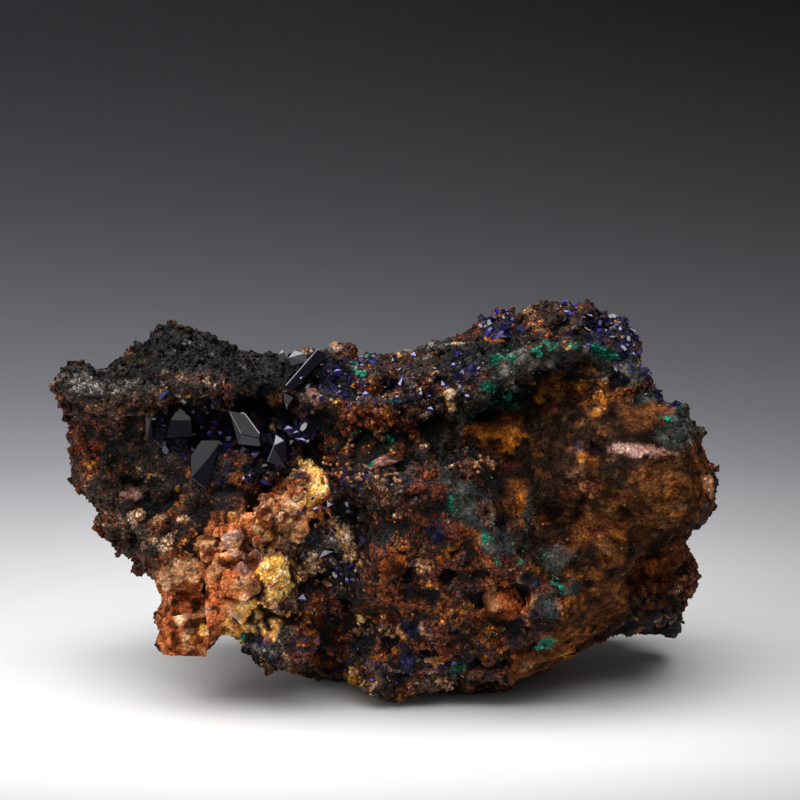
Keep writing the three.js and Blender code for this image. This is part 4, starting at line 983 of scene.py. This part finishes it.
def mirror_plates(plates):
    """Small uneven plates that face halfway between the eye and the light overhead."""
    noise.seed_set(17)
    grown = bmesh.new()
    facing = MIRROR_WAY.to_track_quat("Z", "Y").to_matrix().to_4x4()
    tints = []
    for x, z, wide, tall, turn, tint in plates:
        middle = on_face(x, z)[0] - sight_to(x, z) * PLATE_STAND * MM
        size = Matrix.Diagonal((0.42 * wide, 0.55 * tall, 0.7, 1))
        lean = Euler((0.25 * noise.random() - 0.12, 0.25 * noise.random() - 0.12, math.radians(turn)))
        matrix = Matrix.Translation(middle) @ facing @ lean.to_matrix().to_4x4() @ size
        made = bmesh.ops.create_cone(
            grown, segments=3 + len(tints) % 3, radius1=0.6 * MM, radius2=MM, depth=2 * MM, cap_ends=True)
        for vertex in made["verts"]:
            uneven = Vector((1 + 0.3 * noise.random(), 0.8 + 0.4 * noise.random(), 1))
            vertex.co = matrix @ (vertex.co * uneven)
        tints += [min(tint, BRIGHTEST_PAINTED_GLINT)] * len(made["verts"])
    mesh = shape_mesh("plates", grown)
    keep_share(mesh, "tint", np.array(tints))
    return mesh


azure = Look("azurite")
tint = azure.share("tint")
# Near black, deep blue and violet by tint; the palest, lilac-grey stop is a painted glint on the brightest
# plates and crystals.
deep = azure.ramp(tint, [
    (0.1, (0.001, 0.001, 0.004)), (0.6, (0.003, 0.002, 0.022)), (0.8, (0.012, 0.008, 0.11)),
    (0.9, (0.035, 0.024, 0.25)), (1.0, (0.17, 0.16, 0.28))])
azure.finish(Base_Color=deep, Roughness=azure.ramp(tint, [(0.12, 0.06), (0.3, 0.28), (1.0, 0.35)]), IOR=1.75)


def blade_shape(name, sides, wide, thick, tall, slant):
    """A small tabular crystal, standing up, with a slanted roof."""
    shape = bmesh.new()
    bmesh.ops.create_cone(
        shape, segments=sides, radius1=0.8, radius2=0.62, depth=1, cap_ends=True,
        matrix=Matrix.Translation((0, 0, 0.3)))
    for vertex in shape.verts:
        x, y, z = vertex.co
        roof = slant * x if z > 0.3 else 0
        vertex.co = Vector((x * wide, y * thick, (z + roof) * tall)) * MM
    return shape_mesh(name, shape)


# The small crystals' sides, their stretch in breadth, thickness and height, and the slant of their roofs.
BLADE_SIZES = [
    (6, 1.3, 0.6, 1.5, 0.5), (4, 1.2, 0.5, 1.7, 0.7), (6, 1.5, 0.9, 1.1, 0.3), (5, 0.9, 0.8, 1.3, 0.6)]
blade_shapes = [blade_shape(f"blade_{i}", *sizes) for i, sizes in enumerate(BLADE_SIZES)]
# Where each druse lies, as x, z, half width and half height, how far apart its crystals stand in mm, and
# the lowest and highest of their scales and of their tints, from black to lilac.
DRUSES = {
    "azurite_left_hollow": ([(-38, 60, 16, 8), (-26, 57, 9, 8)], 1.7, (0.5, 1.3), (0.25, 0.85)),
    "azurite_top_blades": ([(-16, 73, 6, 6)], 1.3, (0.35, 0.95), (0.25, 0.8)),
    "azurite_saddle_plates": (
        [(-5, 75.5, 5, 3), (4, 71, 9, 5), (19, 73, 5, 4), (-8, 69, 6, 5)], 1.2, (0.3, 0.85), (0.25, 0.9)),
    "azurite_rosette": ([(24.7, 84, 5, 4)], 1.3, (0.5, 1.3), (0.5, 1.0)),
    "azurite_crest_druse": (
        [(48, 84, 10, 6), (55, 76, 5, 5), (62, 69, 4, 2)], 1.2, (0.4, 1.0), (0.25, 0.9)),
    "azurite_middle_hollow": ([(-12, 33, 8, 12)], 1.6, (0.35, 1.0), (0.25, 0.8)),
    "azurite_base_crystals": ([(3, 10, 19, 7)], 1.6, (0.25, 0.6), (0.4, 0.95)),
}
LARGE_CRYSTALS = {"azurite_left_hollow": HOLLOW_CRYSTALS, "azurite_top_blades": BLADES}
LARGE_TINT = 0.1
BLADE_LEAN = 1.1
DRUSE_EDGE = (1.2, 0.6)
DRUSE_SEED = 200
seen, places = seen_points(rock.data)
ragged = 0.35 * noise_over(places, 5.0, 2, 20)
for i, (name, (patches, spacing, size, (low, high))) in enumerate(DRUSES.items()):
    share = inside(seen, patches, DRUSE_EDGE, ragged)
    keep_share(rock.data, name, share * ramped(places[:, 1], 10, -4) * ramped(places[:, 2], 1.5, 3))
    druse = scattered(name, rock, name, spacing, blade_shapes, size, BLADE_LEAN, DRUSE_SEED + i)
    keep_share(druse.data, "tint", low + (high - low) * kept_share(druse.data, "tint") ** 1.3)
    if name in LARGE_CRYSTALS:
        crystals = angular("crystals", LARGE_CRYSTALS[name])
        keep_share(crystals, "tint", np.full(len(crystals.vertices), LARGE_TINT))
        druse.data = joined(name, [druse.data, crystals])
    if name in PLATES:
        druse.data = joined(name, [druse.data, mirror_plates(PLATES[name])])
    druse.name = name + "_crystals"
    druse.data.materials.clear()
    druse.data.materials.append(azure.material)
    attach(druse, "root")
    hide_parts(name)
    print(name, triangles(druse.data))

# Malachite, green copper carbonate: little groups of velvety balls that grew on the rock, and single grains
# round them and along the rim of its grey-green crust. A group's x and z as seen, and its radius in mm.
TUFTS = [(-5.5, 73, 1.0), (1, 58.3, 1.3), (28, 68.5, 1.1), (34, 78, 1.1), (64, 62.5, 1.0), (26.5, 30.5, 1.0),
         (38, 25.5, 1.4), (35, 12, 1.2)]
BALLS_IN_TUFT = 10
noise.seed_set(5)
tufts = bmesh.new()
for x, z, radius in TUFTS:
    middle, out = on_face(x, z)
    for i in range(BALLS_IN_TUFT):
        aside = noise.random_unit_vector().cross(out).normalized() * radius * (0.3 + 1.1 * noise.random())
        place = middle + (aside * (i > 0) + out * radius * 0.3) * MM
        size = radius * (0.2 + 0.35 * noise.random())
        bmesh.ops.create_icosphere(tufts, subdivisions=2, radius=size * MM, matrix=Matrix.Translation(place))
balls = [grain_shape(f"ball_{i}", 80 + i, (1, 0.9, 0.8), 0.15) for i in range(3)]
rim = ramped(shares["velvet"], 0.1, 0.4) * ramped(shares["velvet"], 0.9, 0.6)
rim *= ramped(noise_over(places, 6, 2, 70), 0, 0.5)
keep_share(rock.data, "greenish", np.maximum(shares["green"], 0.35 * rim) * above)
grains = scattered("malachite_grains", rock, "greenish", 0.9, balls, (0.15, 0.42), 1.0, 61)
malachite = new_piece("malachite_tufts", joined("malachite", [shape_mesh("tufts", tufts), grains.data]))
bpy.data.objects.remove(grains)
malachite.data.shade_smooth()
green = Look("malachite")
shade = green.ramp(green.noise(0.8), [
    (0.3, (0.001, 0.05, 0.03)), (0.55, (0.004, 0.17, 0.10)), (0.75, (0.04, 0.42, 0.29))])
green.finish(Base_Color=shade, Roughness=0.6, Specular_IOR_Level=0.3,
             Normal=green.bump(green.noise(0.35, 2.0), 0.2))
malachite.data.materials.append(green.material)
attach(malachite, "root")
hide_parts(*[f"malachite_tuft_{i}" for i in range(1, 9)])

# The table and the studio: a pale table that runs far back, its tone a painted pool of light round the rock
# that fades into the dark with distance, darker to the right and at the near edge and cooler far off; one
# large softbox overhead and weak panels in front and at the left.
TABLE_REACH = 5.0
shape = bmesh.new()
bmesh.ops.create_grid(shape, x_segments=1, y_segments=1, size=TABLE_REACH)
table = new_piece("table", shape_mesh("table", shape))
paper = Look("paper")
TABLE_FAR = 4
across, depth, _ = paper.node("ShaderNodeSeparateXYZ", {"Vector": paper.place}).outputs
far = paper.math("SQRT", paper.math("MULTIPLY_ADD", depth, depth, paper.math("MULTIPLY", across, across)))
# Painted light: the table's lightness by its distance from the rock, up to 4 m.
shade = paper.ramp(paper.ranged(far, 0, TABLE_FAR), [
    (0.0, 0.58), (0.02, 0.58), (0.0325, 0.45), (0.05, 0.325), (0.07, 0.22), (0.0925, 0.168), (0.12, 0.14),
    (0.155, 0.126), (0.2, 0.12), (0.26, 0.122), (0.345, 0.138), (0.465, 0.161), (0.66, 0.17), (1.0, 0.16)])
# Painted shade to the right and at the near edge.
painted_side_shade = paper.math("MULTIPLY_ADD", paper.math("TANH", paper.math("DIVIDE", across, 0.95)), -1.05, 1.0)
painted_edge_shade = paper.ranged(depth, -0.09, -0.06, 0.8, 1.0)
shade = paper.mix(1.0, shade, paper.math("MULTIPLY", painted_side_shade, painted_edge_shade), "MULTIPLY")
# A cooler painted tint far off.
painted_far_tint = paper.ramp(paper.ranged(far, 0, TABLE_FAR), [(0.02, (1.0, 1.0, 1.0)), (0.1, (0.93, 0.91, 1.0))])
shade = paper.mix(1.0, shade, painted_far_tint, "MULTIPLY")
table.data.materials.append(paper.finish(Base_Color=shade, Roughness=0.9, Specular_IOR_Level=0.2))


def softbox(name, place, target, size, power):
    light = bpy.data.objects.new(name, bpy.data.lights.new(name, "AREA"))
    bpy.context.scene.collection.objects.link(light)
    light.data.shape = "RECTANGLE"
    light.data.size, light.data.size_y = size
    light.data.energy = power
    light.location = place
    light.rotation_euler = (Vector(target) - Vector(place)).to_track_quat("-Z", "Y").to_euler()


softbox("overhead", (-0.2, -0.3, 0.8), (-0.2, 0, 0), (1.3, 0.9), 19)
softbox("front panel", (-0.3, -1.3, 0.75), (0, 0, 0.05), (2.0, 1.0), 3.6)
softbox("side panel", (-0.9, -0.45, 0.4), (0, 0, 0.04), (1.0, 0.8), 4.5)
world = bpy.data.worlds.new("studio")
bpy.context.scene.world = world
world.use_nodes = True
world.node_tree.nodes["Background"].inputs["Color"].default_value = (0.09, 0.09, 0.095, 1)
bpy.context.scene.view_settings.view_transform = "Standard"

camera = bpy.data.objects.new("camera", bpy.data.cameras.new("camera"))
bpy.context.scene.collection.objects.link(camera)
bpy.context.scene.camera = camera
PICTURE_PIXELS = 800
PIXELS_PER_MM = 4.45
SENSOR_WIDE = 36
camera.data.sensor_width = SENSOR_WIDE
camera.data.lens = SENSOR_WIDE * SIGHT_DISTANCE / (PICTURE_PIXELS / PIXELS_PER_MM)
camera.data.clip_start = 0.05
camera.location = eye * MM
camera.rotation_euler = (math.radians(90) - SIGHT_TILT, 0, 0)
